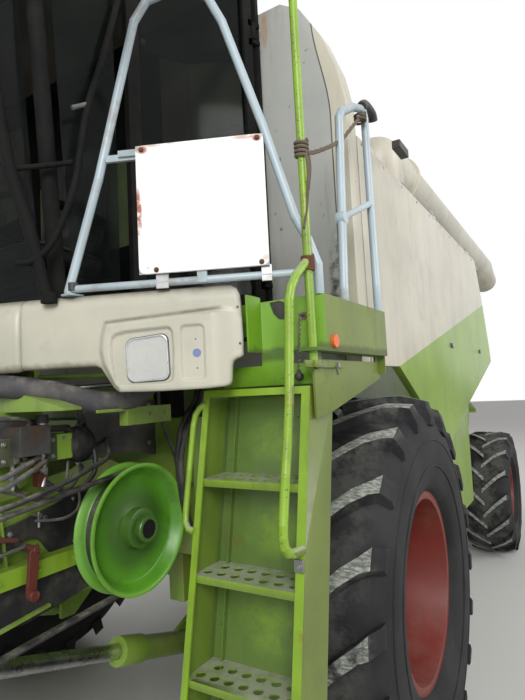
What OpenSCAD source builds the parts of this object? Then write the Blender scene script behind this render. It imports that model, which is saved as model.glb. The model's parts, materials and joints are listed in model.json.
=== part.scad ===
// Self-propelled combine harvester without its header, in millimetres.
// X runs across the machine with its left side at +X. The front faces -Y. Z is up from the ground.
// The source is measured from the front axle, and shift_y moves it so the origin is mid-length.

/* [Part] */
// which piece is drawn
// facets of round pieces
round_n = 64; // [32:8:96]

/* [Wheels] */
// front wheel radius, out to the tips of the lugs
front_r = 880; // [850:5:910]
// front tyre width
front_w = 650; // [600:10:700]
// height of the front tyres' lugs
front_lug = 46; // [38:1:52]
// lugs in each half of a front tyre
front_lugs = 20; // [16:1:22]
// outer plane of the front tyres from the middle
front_x = 1613; // [1580:1:1650]
// radius of the front rim at its edge
front_rim_r = 430; // [410:5:440]
// rear wheel radius, out to the tips of the lugs
rear_r = 620; // [600:5:650]
// rear tyre width
rear_w = 460; // [380:10:500]
// height of the rear tyres' lugs
rear_lug = 32; // [26:1:36]
// lugs in each half of a rear tyre
rear_lugs = 16; // [14:1:20]
// outer plane of the rear tyres from the middle
rear_x = 1553; // [1520:1:1580]
// radius of the rear rim at its edge
rear_rim_r = 330; // [310:5:340]
// distance between the axles
wheelbase = 3653; // [3600:1:3750]
// distance of the steering pins from the middle
kingpin_x = 1000; // [980:5:1020]

/* [Body] */
// half width over the side panels
body_x = 1500; // [1450:5:1560]
// height of the side panels' top hinge
panel_top = 2900; // [2800:10:2950]
// height of the grain tank rim
tank_top = 3520; // [3400:10:3600]
// half width of the grain tank
tank_x = 1000; // [950:10:1050]
// rear end of the grain tank
tank_rear = 1900; // [1700:10:2000]
// underside of the threshing body
body_low = 1150; // [1100:10:1200]
// rear end of the threshing body
body_rear = 2600; // [2500:10:2700]
// top of the threshing body
body_top = 2300; // [2250:10:2350]
// half width of the straw hood
hood_x = 860; // [800:10:900]
// top of the straw hood
hood_top = 2850; // [2750:10:2870]
// front of the chopper under the straw hood
chopper_y = 4850; // [4750:10:4950]
// rear end of the straw hood
hood_rear = 5350; // [5000:10:5600]
// rear end of the spreader flap
flap_rear = 6150; // [5900:10:6400]

/* [Cab] */
// height of the cab floor and the platform
floor_z = 2100; // [2050:5:2150]
// height of the cab roof's underside
roof_z = 3640; // [3500:10:3700]
// half width of the cab at its rear
cab_rear_x = 1130; // [1100:5:1140]
// half width of the cab at its front
cab_front_x = 790; // [750:5:850]

/* [Platform and ladder] */
// outer edge of the platform
plat_x = 1603; // [1580:1:1620]
// front edge of the platform
plat_front = -1060; // [-1100:5:-1000]
// height of the platform's rim
plat_h = 162; // [120:2:200]
// inner side of the ladder
ladder_x0 = 1172; // [1150:1:1200]
// outer side of the ladder
ladder_x1 = 1560; // [1540:1:1580]
// height of the ladder's top rail
ladder_top = 1828; // [1800:1:1840]
// lean of the ladder from upright
ladder_lean = 11; // [8:0.5:14]
// distance between steps
step_pitch = 277; // [260:1:300]

/* [Feeder house] */
// height of the feeder house's pivot shaft
fh_z = 1350; // [1300:5:1400]
// distance of the pivot shaft ahead of the front axle
fh_y = 1075; // [1000:5:1100]
// slope of the feeder house as parked
fh_slope = 6; // [0:1:20]
// length of the feeder house from its pivot
fh_len = 1600; // [1500:10:1750]
// radius of the big drive pulley
pulley_r = 230; // [200:5:250]

/* [Hidden] */
run = 0.05;
gap = 5;
lean_tan = tan(ladder_lean);
flange_top = 330;
fh_front = -fh_y - fh_len * cos(fh_slope) - flange_top * sin(fh_slope);
shift_y = -(flap_rear + fh_front) / 2;
// lift cylinders: pins on the axle and under the feeder house, as parked
lift_x = 500;
lift_a = [-420, 615];
lift_b = [-1700, 1035];
lift_pin_r = 15;
lift_len = norm(lift_b - lift_a);
lift_tilt = atan2(lift_b[1] - lift_a[1], lift_a[0] - lift_b[0]);
// unloading auger: middle of its vertical pipe and height of its tube
auger_x = 1220;
auger_y = 750;
auger_z = panel_top + 350;
auger_r = 160;
// plan of the cab's left side, front corner to rear corner
cab_front_y = -1380;
cab_rear_y = -520;
ladder_hinge = [1572, -1092];
// tow pin behind the last cross member
tow_y = 4490;
tow_r = 16;
flap_pin = [chopper_y + 600, 1560];
door_hinges = [floor_z + 180, roof_z - 260];
// the door's lower edge passes over the apron
door_z = floor_z + 60;
screen_y = tank_rear + 660;
screen_z = panel_top + 330;
cover_rear = tank_rear + 1700;
side_turn = atan2(cab_front_y - cab_rear_y, cab_front_x - cab_rear_x);
$fn = round_n;

module place() { translate([0, shift_y, 0]) children(); }
module both_sides() { children(); mirror([1, 0, 0]) children(); }
module box(x0, x1, y0, y1, z0, z1) { translate([x0, y0, z0]) cube([x1 - x0, y1 - y0, z1 - z0]); }
// rods along X, Y and Z
module rod_x(x0, x1, y, z, r) { translate([x0, y, z]) rotate([90, 0, 90]) cylinder(h = x1 - x0, r = r); }
module rod_y(x, y0, y1, z, r) { translate([x, y0, z]) rotate([-90, 0, 0]) cylinder(h = y1 - y0, r = r); }
module rod_z(x, y, z0, z1, r) { translate([x, y, z0]) cylinder(h = z1 - z0, r = r); }
// a side view [y, z] given a thickness across the machine
module side_sheet(x0, x1, pts) {
    translate([x0, 0, 0]) rotate([90, 0, 90]) linear_extrude(x1 - x0) polygon(pts);
}
// a plan view [x, y] given a height
module plan_sheet(z0, z1, pts) { translate([0, 0, z0]) linear_extrude(z1 - z0) polygon(pts); }
// a front view [x, z] given a depth
module front_sheet(y0, y1, pts) {
    translate([0, y1, 0]) rotate([90, 0, 0]) linear_extrude(y1 - y0) polygon(pts);
}
// a tube through a list of points, with a ball at each bend
module tube_path(pts, r) {
    for (i = [0 : len(pts) - 2]) {
        d = pts[i + 1] - pts[i];
        translate(pts[i]) rotate([0, acos(d[2] / norm(d)), atan2(d[1], d[0])])
            cylinder(h = norm(d), r = r, $fn = 24);
        if (i > 0) translate(pts[i]) sphere(r = 1.03 * r, $fn = 24);
    }
}

// Wheels: profiles of [radius, distance from the tyre's inner plane]
tyre_n = 24;
// a lug's rows: share of the half width, run back round the tyre in shares of its radius,
// and how far its foot and its top lie under the tread and the tips, in lug heights
lug_rows = [[0.95, 0, 3, 0.3], [-0.04, 0.33, 1.1, 0]];
lug_half = 1.95;
lug_foot = 2.8;
module lug(r, w, h, turn, side) {
    points = [for (q = lug_rows) for (c = [[-lug_foot, q[2]], [-lug_half, q[3]], [lug_half, q[3]],
        [lug_foot, q[2]]])
        let (a = turn - q[1] * 180 / PI + c[0], d = r - c[1] * h)
        [w / 2 + side * q[0] * (w / 2 - 4), -d * cos(a), d * sin(a)]];
    hull() polyhedron(points, [[0, 1, 2, 3], [7, 6, 5, 4], [0, 4, 5, 1], [1, 5, 6, 2], [2, 6, 7, 3],
        [3, 7, 4, 0]]);
}
module tyre(r, w, rim_r, h, n) {
    s = rim_r - 28;
    t = r - h - s;
    // the faceted bore stays outside the round rim
    bore = (s + 0.1) / cos(180 / tyre_n);
    // one lug's corner stands exactly under the axle
    first = -90 - lug_half + lug_rows[1][1] * 180 / PI - 180 / n;
    rotate([90, 0, 90]) rotate_extrude($fn = tyre_n) polygon([
        [bore, 64], [s + 34, 64], [s + 0.32 * t, 4], [s + 0.6 * t, 0], [s + t, 120],
        [s + t, w - 120], [s + 0.6 * t, w], [s + 0.32 * t, w - 4], [s + 34, w - 64], [bore, w - 64]]);
    for (k = [0 : n - 1]) {
        lug(r, w, h, first + 360 * k / n, 1);
        lug(r, w, h, first + 360 * (k + 0.5) / n, -1);
    }
}
module rim(rim_r, w, disc, hub_r, bore) {
    s = rim_r - 28;
    rotate([90, 0, 90]) rotate_extrude() polygon([
        [s - 0.3, 64], [rim_r, 64], [rim_r, 56], [s - 9, 56], [s - 9, disc], [hub_r, disc],
        [hub_r, disc - 30], [bore, disc - 30], [bore, disc + 60], [hub_r, disc + 60],
        [hub_r, disc + 14], [s - 9, disc + 14], [s - 9, w - 56], [rim_r, w - 56],
        [rim_r, w - 64], [s - 0.3, w - 64]]);
}
module front_tyre_left() {
    place() color("#222222") translate([front_x - front_w, 0, front_r]) tyre(front_r, front_w,
        front_rim_r, front_lug, front_lugs);
}
module front_tyre_right() { mirror([1, 0, 0]) front_tyre_left(); }
module front_rim_left() {
    place() color("#b03020") translate([front_x - front_w, 0, front_r])
        rim(front_rim_r, front_w, 260, 130, 60 + run);
}
module front_rim_right() { mirror([1, 0, 0]) front_rim_left(); }
module rear_tyre_left() {
    place() color("#222222") translate([rear_x - rear_w, wheelbase, rear_r])
        tyre(rear_r, rear_w, rear_rim_r, rear_lug, rear_lugs);
}
module rear_tyre_right() { mirror([1, 0, 0]) rear_tyre_left(); }
module rear_rim_left() {
    place() color("#b03020") translate([rear_x - rear_w, wheelbase, rear_r])
        rim(rear_rim_r, rear_w, 200, 90, 40 + run);
}
module rear_rim_right() { mirror([1, 0, 0]) rear_rim_left(); }

// Running gear
module chassis_frame() {
    place() color("#7fa52a") {
        both_sides() box(660, 740, -740, 4400, 950, 1150);
        for (y = [-740, 1400, 2900, 4320]) box(-660, 660, y, y + 80, 1060, 1150);
        box(-660, 660, wheelbase - 90, wheelbase + 90, 1060, 1150);
        box(-60, 60, 4370, 4400, 1000, 1150);
        for (z = [1000, 1110]) difference() {
            box(-60, 60, 4390, tow_y + 50, z, z + 30);
            rod_z(0, tow_y, z - 1, z + 31, tow_r);
        }
    }
}
module front_axle() {
    hx = front_x - front_w + 260;
    place() color("#7fa52a") difference() {
        union() {
            box(-760, 760, -110, 110, 770, 950);
            both_sides() {
                box(745, 900, -190, 190, 690, 1040);
                rod_x(745, hx - 45, 0, front_r, 210);
                rod_x(745, hx + 50, 0, front_r, 60);
                for (x = [lift_x - 86, lift_x + 62])
                    side_sheet(x, x + 24, [[-100, 800], [-470, 650], [-470, 570], [-380, 565],
                        [-100, 780]]);
                rod_x(lift_x - 86, lift_x + 86, lift_a[0], lift_a[1], 22);
            }
        }
    }
}
module rear_axle_beam() {
    place() color("#7fa52a") {
        box(-200, 200, wheelbase - 90, wheelbase + 90, 850, 1060);
        difference() {
            union() {
                box(-935, 935, wheelbase - 75, wheelbase + 75, 560, 850);
                both_sides() rod_z(kingpin_x, wheelbase, 560, 680, 65);
                both_sides() box(900, kingpin_x, wheelbase - 60, wheelbase + 60, 560, 680);
            }
            both_sides() {
                rod_z(kingpin_x, wheelbase, 500, 800, 30 + run);
                box(kingpin_x - 90, kingpin_x + 90, wheelbase - 100, wheelbase + 100, 680, 900);
            }
        }
    }
}
module knuckle_left() {
    place() color("#7fa52a") {
        rod_z(kingpin_x, wheelbase, 500, 740, 30);
        for (z = [515, 685]) difference() {
            union() {
                rod_z(kingpin_x, wheelbase, z, z + 40, 60);
                box(kingpin_x, kingpin_x + 100, wheelbase - 55, wheelbase + 55, z, z + 40);
            }
            rod_z(kingpin_x, wheelbase, z - 1, z + 41, 20);
        }
        box(kingpin_x + 72, kingpin_x + 100, wheelbase - 55, wheelbase + 55, 515, 725);
        rod_x(kingpin_x + 90, rear_x - rear_w + 255, wheelbase, rear_r, 40);
    }
}
module knuckle_right() { mirror([1, 0, 0]) knuckle_left(); }

// Body
module threshing_body() {
    place() color("#7fa52a") {
        side_sheet(-820, 820, [[-740, body_low], [body_rear, body_low], [body_rear, body_top],
            [-400, body_top], [-400, 1890], [-505, 1890], [-505, 1720], [-740, 1720]]);
        // ears that carry the feeder house's pivot shaft
        both_sides() difference() {
            side_sheet(655, 695, [[-740, 1190], [-740, 1500], [-fh_y - 40, fh_z + 70],
                [-fh_y - 75, fh_z + 30],
                [-fh_y - 75, fh_z - 40], [-fh_y - 30, fh_z - 80]]);
            rod_x(650, 700, -fh_y, fh_z, 30 + run);
        }
    }
}
module front_wall() {
    place() color("#c9ccc4") front_sheet(-500, -400, [[-body_x, 1900], [body_x, 1900],
        [body_x, 3000], [body_x - 30, 3150], [body_x - 95, 3320], [body_x - 190, 3480],
        [body_x - 280, 3540], [280 - body_x, 3540], [190 - body_x, 3480], [95 - body_x, 3320],
        [30 - body_x, 3150], [-body_x, 3000]]);
}
module grain_tank() {
    place() color("#c9ccc4") difference() {
        box(-tank_x, tank_x, -400, tank_rear, body_top, tank_top);
        box(30 - tank_x, tank_x - 30, -370, tank_rear - 30, body_top + 40, tank_top + 1);
    }
}
module tank_cover_left() {
    place() color("#c9ccc4") {
        box(gap, tank_x - 20, -400, tank_rear, tank_top + gap, tank_top + 30);
        rod_y(tank_x, -300, tank_rear - 100, tank_top + 18, 12);
        box(tank_x - 25, tank_x, -300, tank_rear - 100, tank_top + 10, tank_top + 26);
    }
}
module tank_cover_right() { mirror([1, 0, 0]) tank_cover_left(); }
module body_deck() {
    place() color("#c9ccc4") both_sides() {
        box(tank_x, body_x - 60, -400, 3100, panel_top + gap, panel_top + 30);
        for (y = [-200, 1000, 2200]) {
            box(body_x - 60, body_x - 25, y - 40, y - 12, panel_top + gap, panel_top + 30);
            box(body_x - 35, body_x - 5, y - 40, y - 12, panel_top - 15, panel_top + 30);
            rod_y(body_x - 20, y - 12, y + 60, panel_top, 8);
        }
    }
}
// the side panel's arch passes over the front tyre
arch_gap = 140;
arch_top = 2 * front_r + arch_gap;
panel_side = [[-390, arch_top], [0, arch_top], [front_r - 400, arch_top - 254],
    [front_r + 70, front_r + 530],
    [1550, 1600], [3030, 1980],
    [3000, 2100], [2750, 2555], [2520, panel_top - 12], [-390, panel_top - 12]];
module side_panel_left() {
    place() color("#dcd9cb") {
        difference() {
            union() {
                side_sheet(body_x - 40, body_x, panel_side);
                for (y = [-200, 1000, 2200]) {
                    box(body_x - 36, body_x - 4, y, y + 50, panel_top - 14, panel_top);
                    rod_y(body_x - 20, y, y + 50, panel_top, 16);
                }
            }
            for (y = [-200, 1000, 2200]) rod_y(body_x - 20, y - 20, y + 70, panel_top, 8 + run);
            for (y = [-200, 1000, 2200])
                box(body_x - 41, body_x + 1, y - 46, y - 2, panel_top - 28, panel_top);
            for (y = [-200, 1000, 2200])
                box(body_x - 41, body_x + 1, y + 52, y + 70, panel_top - 28, panel_top);
        }
    }
}
module side_panel_right() { mirror([1, 0, 0]) side_panel_left(); }
module side_skirts() {
    place() color("#7fa52a") both_sides() {
        side_sheet(1320, 1350, [[front_r + 110, 800], [1180, 770], [2420, 765], [2450, 1560], [1500, 1540],
            [front_r + 80, 1380]]);
        for (y = [1500, 2250]) box(820, 1320, y, y + 60, 1160, 1240);
    }
}
module cleaning_shoe() {
    place() color("#8a8d86") side_sheet(-640, 640, [[700, 1000], [950, 800], [wheelbase - 453, 800],
        [wheelbase - 113, 930], [wheelbase - 113, 1060], [700, 1060]]);
}
module straw_hood() {
    place() color("#c9ccc4") difference() {
        side_sheet(-hood_x, hood_x, [[body_rear, 1300], [chopper_y, 1300], [chopper_y, 1760],
            [hood_rear, 1760],
            [hood_rear, 2100], [hood_rear - 60, 2330], [hood_rear - 200, 2620], [hood_rear - 400, 2770],
            [hood_rear - 650, hood_top], [body_rear, hood_top]]);
        side_sheet(40 - hood_x, hood_x - 40, [[body_rear + 45, 1299], [chopper_y - 40, 1299],
            [chopper_y - 40, 1800], [hood_rear - 40, 1800], [hood_rear - 40, 2090],
            [hood_rear - 98, 2315], [hood_rear - 228, 2590], [hood_rear - 420, 2735],
            [hood_rear - 660, hood_top - 40], [body_rear + 45, hood_top - 40]]);
        both_sides() box(hood_x - 12, hood_x + 1, body_rear + 300, chopper_y - 300, 1500, 2550);
    }
}
module straw_chopper() {
    place() color("#7fa52a") {
        side_sheet(20 - hood_x, hood_x - 20, [[chopper_y, 1250], [chopper_y + 150, 1130],
            [chopper_y + 430, 1130],
            [chopper_y + 560, 1300], [chopper_y + 560, 1760], [chopper_y, 1760]]);
        both_sides() difference() {
            side_sheet(hood_x - 38, hood_x - 20, [[flap_pin[0] - 50, flap_pin[1] - 70],
                [flap_pin[0] + 30, flap_pin[1] - 40], [flap_pin[0] + 30, flap_pin[1] + 40],
                [flap_pin[0] - 50, flap_pin[1] + 80]]);
            rod_x(hood_x - 50, hood_x, flap_pin[0], flap_pin[1], 20 + run);
        }
    }
}
module spreader_flap() {
    place() color("#7fa52a") {
        rod_x(20 - hood_x, hood_x - 20, flap_pin[0], flap_pin[1], 20);
        side_sheet(45 - hood_x, hood_x - 45, [[flap_pin[0], flap_pin[1] - 12], [flap_rear - 20, 1350],
            [flap_rear, 1300],
            [flap_rear, 1330], [flap_rear - 15, 1370], [flap_pin[0] + 5, flap_pin[1] + 15]]);
        for (x = [-700 : 200 : 700]) side_sheet(x - 4, x + 4, [[flap_pin[0] + 50, flap_pin[1] - 15],
            [flap_pin[0] + 150, flap_pin[1] - 140], [flap_rear - 60, 1260], [flap_rear - 60, 1355]]);
    }
}

// Engine deck
module engine_block() {
    place() color("#6b6b66") box(-550, 550, tank_rear + 30, body_rear - 10, body_top, body_top + 850);
}
module engine_cover() {
    place() color("#c9ccc4") difference() {
        side_sheet(-600, 860, [[tank_rear, hood_top], [cover_rear, hood_top], [cover_rear, hood_top + 100],
            [cover_rear - 200, hood_top + 450], [tank_rear, hood_top + 500]]);
        side_sheet(-560, 820, [[tank_rear + 20, hood_top - 1], [cover_rear - 40, hood_top - 1],
            [cover_rear - 40, hood_top + 90], [cover_rear - 220, hood_top + 412], [tank_rear + 20, hood_top + 460]]);
        for (k = [0 : 7])
            box(818, 861, cover_rear - 900 + 80 * k, cover_rear - 860 + 80 * k, hood_top + 60,
                hood_top + 200);
    }
}
module radiator_housing() {
    place() color("#c9ccc4") difference() {
        box(-1400, -640, screen_y - 500, screen_y + 500, panel_top + 30, screen_z + 310);
        box(-1401, -1300, screen_y - 460, screen_y + 460, panel_top + 50, screen_z + 290);
    }
    place() color("#c9ccc4") rod_x(-1390, -1295, screen_y, screen_z, 20);
}
module rotary_screen() {
    place() color("#3c3c3a") difference() {
        rod_x(-1385, -1345, screen_y, screen_z, 265);
        rod_x(-1386, -1344, screen_y, screen_z, 20 + run);
    }
}
module exhaust_stack() {
    place() color("#5a4a3e") {
        rod_z(945, 2700, panel_top + 30, panel_top + 900, 50);
        rod_z(945, 2700, panel_top + 30, panel_top + 500, 80);
    }
}
module auger_turret() {
    place() color("#c9ccc4") {
        rod_z(auger_x, auger_y, 2930, auger_z - auger_r - 25, 150);
        rod_z(auger_x, auger_y, auger_z - auger_r - 25, auger_z - auger_r - 8, 100);
    }
}
module unloading_auger() {
    place() color("#dcd9cb") {
        difference() {
            rod_z(auger_x, auger_y, auger_z - auger_r - 20, auger_z, auger_r);
            rod_z(auger_x, auger_y, auger_z - auger_r - 21, auger_z - auger_r - 5, 100 + run);
        }
        translate([auger_x, auger_y, auger_z]) sphere(r = auger_r);
        rod_y(auger_x, auger_y, 4750, auger_z, auger_r);
        rod_y(auger_x, auger_y + 380, auger_y + 400, auger_z, auger_r + 18);
        translate([auger_x, 4750, auger_z]) rotate([-110, 0, 0]) translate([0, 0, -60])
            cylinder(h = 420, r = auger_r - 6);
    }
}

// Cab
cab_plan = [[-cab_rear_x, cab_rear_y], [cab_rear_x, cab_rear_y], [cab_front_x, cab_front_y],
    [400, -1500], [0, -1545], [-400, -1500], [-cab_front_x, cab_front_y]];
module cab_floor() {
    place() color("#4a4a48") {
        plan_sheet(floor_z - 60, floor_z, cab_plan);
        both_sides() box(560, 680, -720, -620, 1720, floor_z - 60);
    }
}
// the four pillars lean with the cab, from its floor to its roof
module cab_frame() {
    place() color("#5c5f5a") {
        both_sides() {
            intersection() {
                tube_path([[cab_front_x - 23, cab_front_y + 46, floor_z - 100],
                    [cab_front_x - 54, cab_front_y - 51, roof_z + 100]], 28);
                box(600, 900, -1500, -1200, floor_z, roof_z);
            }
            box(cab_rear_x - 70, cab_rear_x - 12, cab_rear_y - 25, cab_rear_y, floor_z, roof_z);
        }
        cab_side_frame() box(52, 660, -38, -4, floor_z, door_z - gap);
        cab_side_frame() for (z = door_hinges) {
            rod_z(46, 0, z - 20, z + 80, 6);
            for (b = [z - 20, z + 62]) box(14, 50, -10, 6, b, b + 18);
        }
        box(70 - cab_rear_x, cab_rear_x - 70, cab_rear_y - 25, cab_rear_y, floor_z, floor_z + 700);
        box(70 - cab_rear_x, cab_rear_x - 70, cab_rear_y - 25, cab_rear_y, roof_z - 130, roof_z);
        // dark inner post and rail on each side
        for (q = [0, 1]) mirror([q, 0, 0]) cab_side_frame() box(52, 660, -75, -45, roof_z - 60,
            roof_z - run);
    }
}
module cab_roof() {
    place() color("#dcd9cb") {
        plan_sheet(roof_z, roof_z + 130, [[-cab_rear_x - 25, -510], [cab_rear_x + 25, -510],
            [1030, -1500], [700, -1720],
            [0, -1800], [-700, -1720], [-1030, -1500]]);
        plan_sheet(roof_z + 130, roof_z + 210, [[-1060, -560], [1060, -560], [920, -1450], [600, -1620],
            [0, -1680], [-600, -1620], [-920, -1450]]);
    }
}
module windscreen() {
    place() color("#2c3430") difference() {
        hull() {
            plan_sheet(floor_z, floor_z + 1, [[-740, -1385], [740, -1385], [400, -1500], [0, -1545],
                [-400, -1500]]);
            plan_sheet(roof_z - 1, roof_z, [[-710, -1475], [710, -1475], [400, -1590], [0, -1640],
                [-400, -1590]]);
        }
        hull() {
            plan_sheet(floor_z - 1, floor_z + 1, [[-760, -1370], [760, -1370], [400, -1488], [0, -1533],
                [-400, -1488]]);
            plan_sheet(roof_z - 1, roof_z + 1, [[-735, -1455], [735, -1455], [400, -1578], [0, -1628],
                [-400, -1578]]);
        }
    }
}
// the cab's left side, measured along it from its rear corner, outward, and up
module cab_side_frame() {
    translate([cab_rear_x, cab_rear_y, 0]) rotate([0, 0, side_turn]) children();
}
module side_pane(t0, t1, lean) {
    cab_side_frame() translate([0, -18, 0]) rotate([90, 0, 0]) linear_extrude(6)
        polygon([[t0, floor_z], [t1, floor_z], [t1 + lean, roof_z], [t0, roof_z]]);
}
module side_glass() {
    place() color("#2c3430") {
        side_pane(690, 850, 85);
        mirror([1, 0, 0]) side_pane(60, 850, 85);
    }
}
module cab_door() {
    place() color("#3a3d3a") cab_side_frame() difference() {
        union() {
            difference() {
                box(52, 645, -40, 0, door_z, roof_z - 10);
                box(100, 597, -41, 1, door_z + 60, roof_z - 70);
                for (z = door_hinges) box(51, 72, -41, 1, z - 30, z + 90);
            }
            for (z = door_hinges) {
                rod_z(46, 0, z, z + 60, 12);
                box(46, 73, -11, 0, z, z + 60);
            }
        }
        for (z = door_hinges) rod_z(46, 0, z - 1, z + 61, 6 + run);
    }
}
module door_glass() {
    place() color("#2c3430") cab_side_frame() box(100, 597, -24, -18, door_z + 60, roof_z - 70);
}
module seat() {
    place() color("#2d2d2f") {
        box(-170, 170, -1000, -700, floor_z, floor_z + 320);
        box(-250, 250, -1080, -620, floor_z + 320, floor_z + 440);
        box(-240, 240, -680, -600, floor_z + 440, floor_z + 1060);
    }
}
module steering_column() {
    place() color("#2d2d2f") {
        intersection() {
            tube_path([[0, -1350, floor_z - 100], [0, -1180, floor_z + 760]], 45);
            box(-100, 100, -1500, -1000, floor_z, roof_z);
        }
        translate([0, -1180, floor_z + 760]) rotate([-14, 0, 0]) rotate_extrude() translate([185, 0])
            circle(r = 16, $fn = 8);
        translate([0, -1180, floor_z + 760]) rotate([-14, 0, 0]) for (a = [0, 120, 240])
            rotate([0, 90, a]) cylinder(h = 180, r = 10);
    }
}

// Platform and ladder
// half width of the cab's floor at a distance from the front axle
function cab_edge(y) =
    cab_front_x + (cab_rear_x - cab_front_x) * (y - cab_front_y) / (cab_rear_y - cab_front_y);
bracket_z = 1880;
gusset_top = floor_z - plat_h - 10;
gusset = [[-1094, 1731], [-970, 1747], [-518, 1842], [-503, gusset_top], [-560, gusset_top],
    [-560, bracket_z + 25], [-1040, bracket_z + 25], [-1040, gusset_top], [-1074, gusset_top],
    [-1074, bracket_z - 5], [-1094, bracket_z - 5]];
module platform() {
    place() color("#7fa52a") {
        plan_sheet(floor_z - 60, floor_z, [[cab_edge(plat_front) + 16, plat_front], [plat_x, plat_front],
            [plat_x, -500], [cab_edge(-500) + 5, -500]]);
        box(1376, plat_x, plat_front, plat_front + 10, floor_z - plat_h, floor_z - 60);
        box(plat_x - 10, plat_x, plat_front + 10, -500, floor_z - plat_h, floor_z - 60);
        box(1375, 1381, -1140, plat_front, floor_z - plat_h, floor_z + 15);
        difference() {
            box(1540, plat_x, -1120, -500, floor_z - plat_h - 10, floor_z - plat_h);
            rod_z(ladder_hinge[0], ladder_hinge[1], 1900, 2000, 13 + run);
        }
        side_sheet(ladder_x1 + 6, ladder_x1 + 14, gusset);
        difference() {
            union() {
                box(ladder_x1 + 14, ladder_x1 + 22, -1158, -890, bracket_z, bracket_z + 20);
                box(ladder_x1 - 6, ladder_x1 + 30, -1114, -1070, bracket_z, bracket_z + 20);
            }
            rod_z(ladder_hinge[0], ladder_hinge[1], bracket_z - 1, bracket_z + 21, 13 + run);
        }
        box(1240, ladder_x1 + 6, -1066, plat_front, ladder_top + 6, 1897);
        box(1380, 1470, -1066, -1054, 1897, floor_z - plat_h);
        box(ladder_x1 + 14, plat_x - 4, -528, -520, 1860, gusset_top);
    }
}
// front line of the ladder at a height
function ladder_y(z) = -1100 - (ladder_top - z) * lean_tan;
module ladder() {
    place() color("#8fbf20") {
        translate([0, -1100, ladder_top]) rotate([-ladder_lean, 0, 0]) {
            box(ladder_x0, ladder_x0 + 6, 0, 150, -1440, 0);
            box(ladder_x0 + 6, ladder_x0 + 22, 0, 6, -1440, 0);
            box(ladder_x1 - 6, ladder_x1, 0, 160, -1440, 0);
            box(ladder_x1 - 28, ladder_x1 - 6, 0, 6, -1440, 0);
            box(ladder_x0 + 6, ladder_x1 - 6, 144, 150, -1440, 0);
            box(ladder_x0 + 43, ladder_x0 + 49, 126, 144, -1440, 0);
            box(ladder_x0 + 22, ladder_x1 - 28, 0, 6, -22, 0);
        }
        for (k = [1 : 5]) translate([0, ladder_y(ladder_top - k * step_pitch), ladder_top - k * step_pitch])
            difference() {
                box(ladder_x0 + 6, ladder_x1 - 6, 6, 146, -22, 0);
                box(ladder_x0 + 5, ladder_x1 - 5, 10, 142, -23, -4);
                // two rows of holes: first hole's distance, count, distance behind the front edge
                for (q = [[35, 7, 45], [60, 6, 100]]) for (i = [0 : q[1] - 1])
                    translate([ladder_x0 + q[0] + 50 * i, q[2], -5]) cylinder(h = 6, r = 15, $fn = 12);
            }
        rod_z(ladder_hinge[0], ladder_hinge[1], bracket_z, 3150, 13);
        tube_path([[1572, -1092, 2200], [1568, -1120, 2176], [1560, -1150, 2146], [1553, -1170, 2110],
            [1550, -1182, 2070], [1548, -1210, 1780], [1545, -1248, 1590], [1545, -1274, 1470],
            [1545, -1277, 1440], [1545, -1272, 1415], [1546, -1255, 1396], [1548, -1230, 1388],
            [1550, -1185, 1385]], 13);
        tube_path([[1180, -1105, 1785], [1160, -1112, 1772], [1148, -1120, 1750], [1143, -1127, 1715],
            [1139, -1150, 1580], [1136, -1172, 1455], [1140, -1180, 1420], [1155, -1186, 1404],
            [1178, -1188, 1398]], 10);
    }
}
hoop = [[870, -1385, 2150], [870, -1385, 2165], [967, -1338, 2520], [1090, -1283, 3034],
    [1130, -1264, 3100], [1220, -1222, 3130],
    [1310, -1180, 3090], [1352, -1160, 2995], [1453, -1114, 2645], [1530, -1077, 2342], [1562, -1062, 2270],
    [1586, -1052, 2190], [1586, -1052, floor_z]];
module front_rail() {
    place() color("#b9c4cc") {
        tube_path(hoop, 14);
        box(850, 892, -1399, -1345, 2150, 2156);
        tube_path([[878, -1381, 2170], [1582, -1053, 2170]], 12);
        translate([1088, -1283, 0]) rotate([0, 0, 25]) box(0, 405, -22, -16, 2195, 2605);
        translate([1088, -1283, 0]) rotate([0, 0, 25]) box(-60, 10, -16, -6, 2580, 2600);
        translate([1088, -1283, 0]) rotate([0, 0, 25]) box(180, 210, -16, -4, 2160, 2260);
    }
}
module side_rail() {
    place() color("#b9c4cc") {
        tube_path([[1585, -856, floor_z], [1585, -856, floor_z + 40], [1585, -802, 2760],
            [1585, -775, 2794], [1585, -742, 2811], [1585, -659, 2863], [1585, -574, 2894],
            [1585, -542, 2896], [1585, -529, 2870], [1585, -523, 2200], [1585, -523, floor_z]], 15);
        tube_path([[1585, -834, 2390], [1585, -526, 2530]], 12);
        rod_x(1570, 1600, -834, 2390, 22);
    }
}
// the left slope of the apron, measured along it from its outer end
fascia = [[1345, -1165], [950, -1350]];
module on_fascia() {
    translate([fascia[0][0], fascia[0][1], 0])
        rotate([0, 0, atan2(fascia[0][1] - fascia[1][1], fascia[0][0] - fascia[1][0])]) children();
}
// outer line of the apron, drawn in by d
function apron_half(d) = [[1373 - d, plat_front], [1373 - d, -1147 + 0.3 * d], [1366 - d, -1156 + 0.7 * d],
    [fascia[0][0] - 0.5 * d, fascia[0][1] + d], [fascia[1][0], fascia[1][1] + d], [725, -1452 + d],
    [400, -1565 + d], [0, -1600 + d]];
function swapped(p) = [for (i = [len(p) - 1 : -1 : 0]) [-p[i][0], p[i][1]]];
apron_in = [[-930, plat_front], [-805, -1395], [-400, -1512], [0, -1557], [400, -1512], [805, -1395],
    [930, plat_front]];
module apron_sheet(z0, z1, d) {
    plan_sheet(z0, z1, concat(apron_half(d), swapped([for (i = [0 : 6]) apron_half(d)[i]]), apron_in));
}
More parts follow.
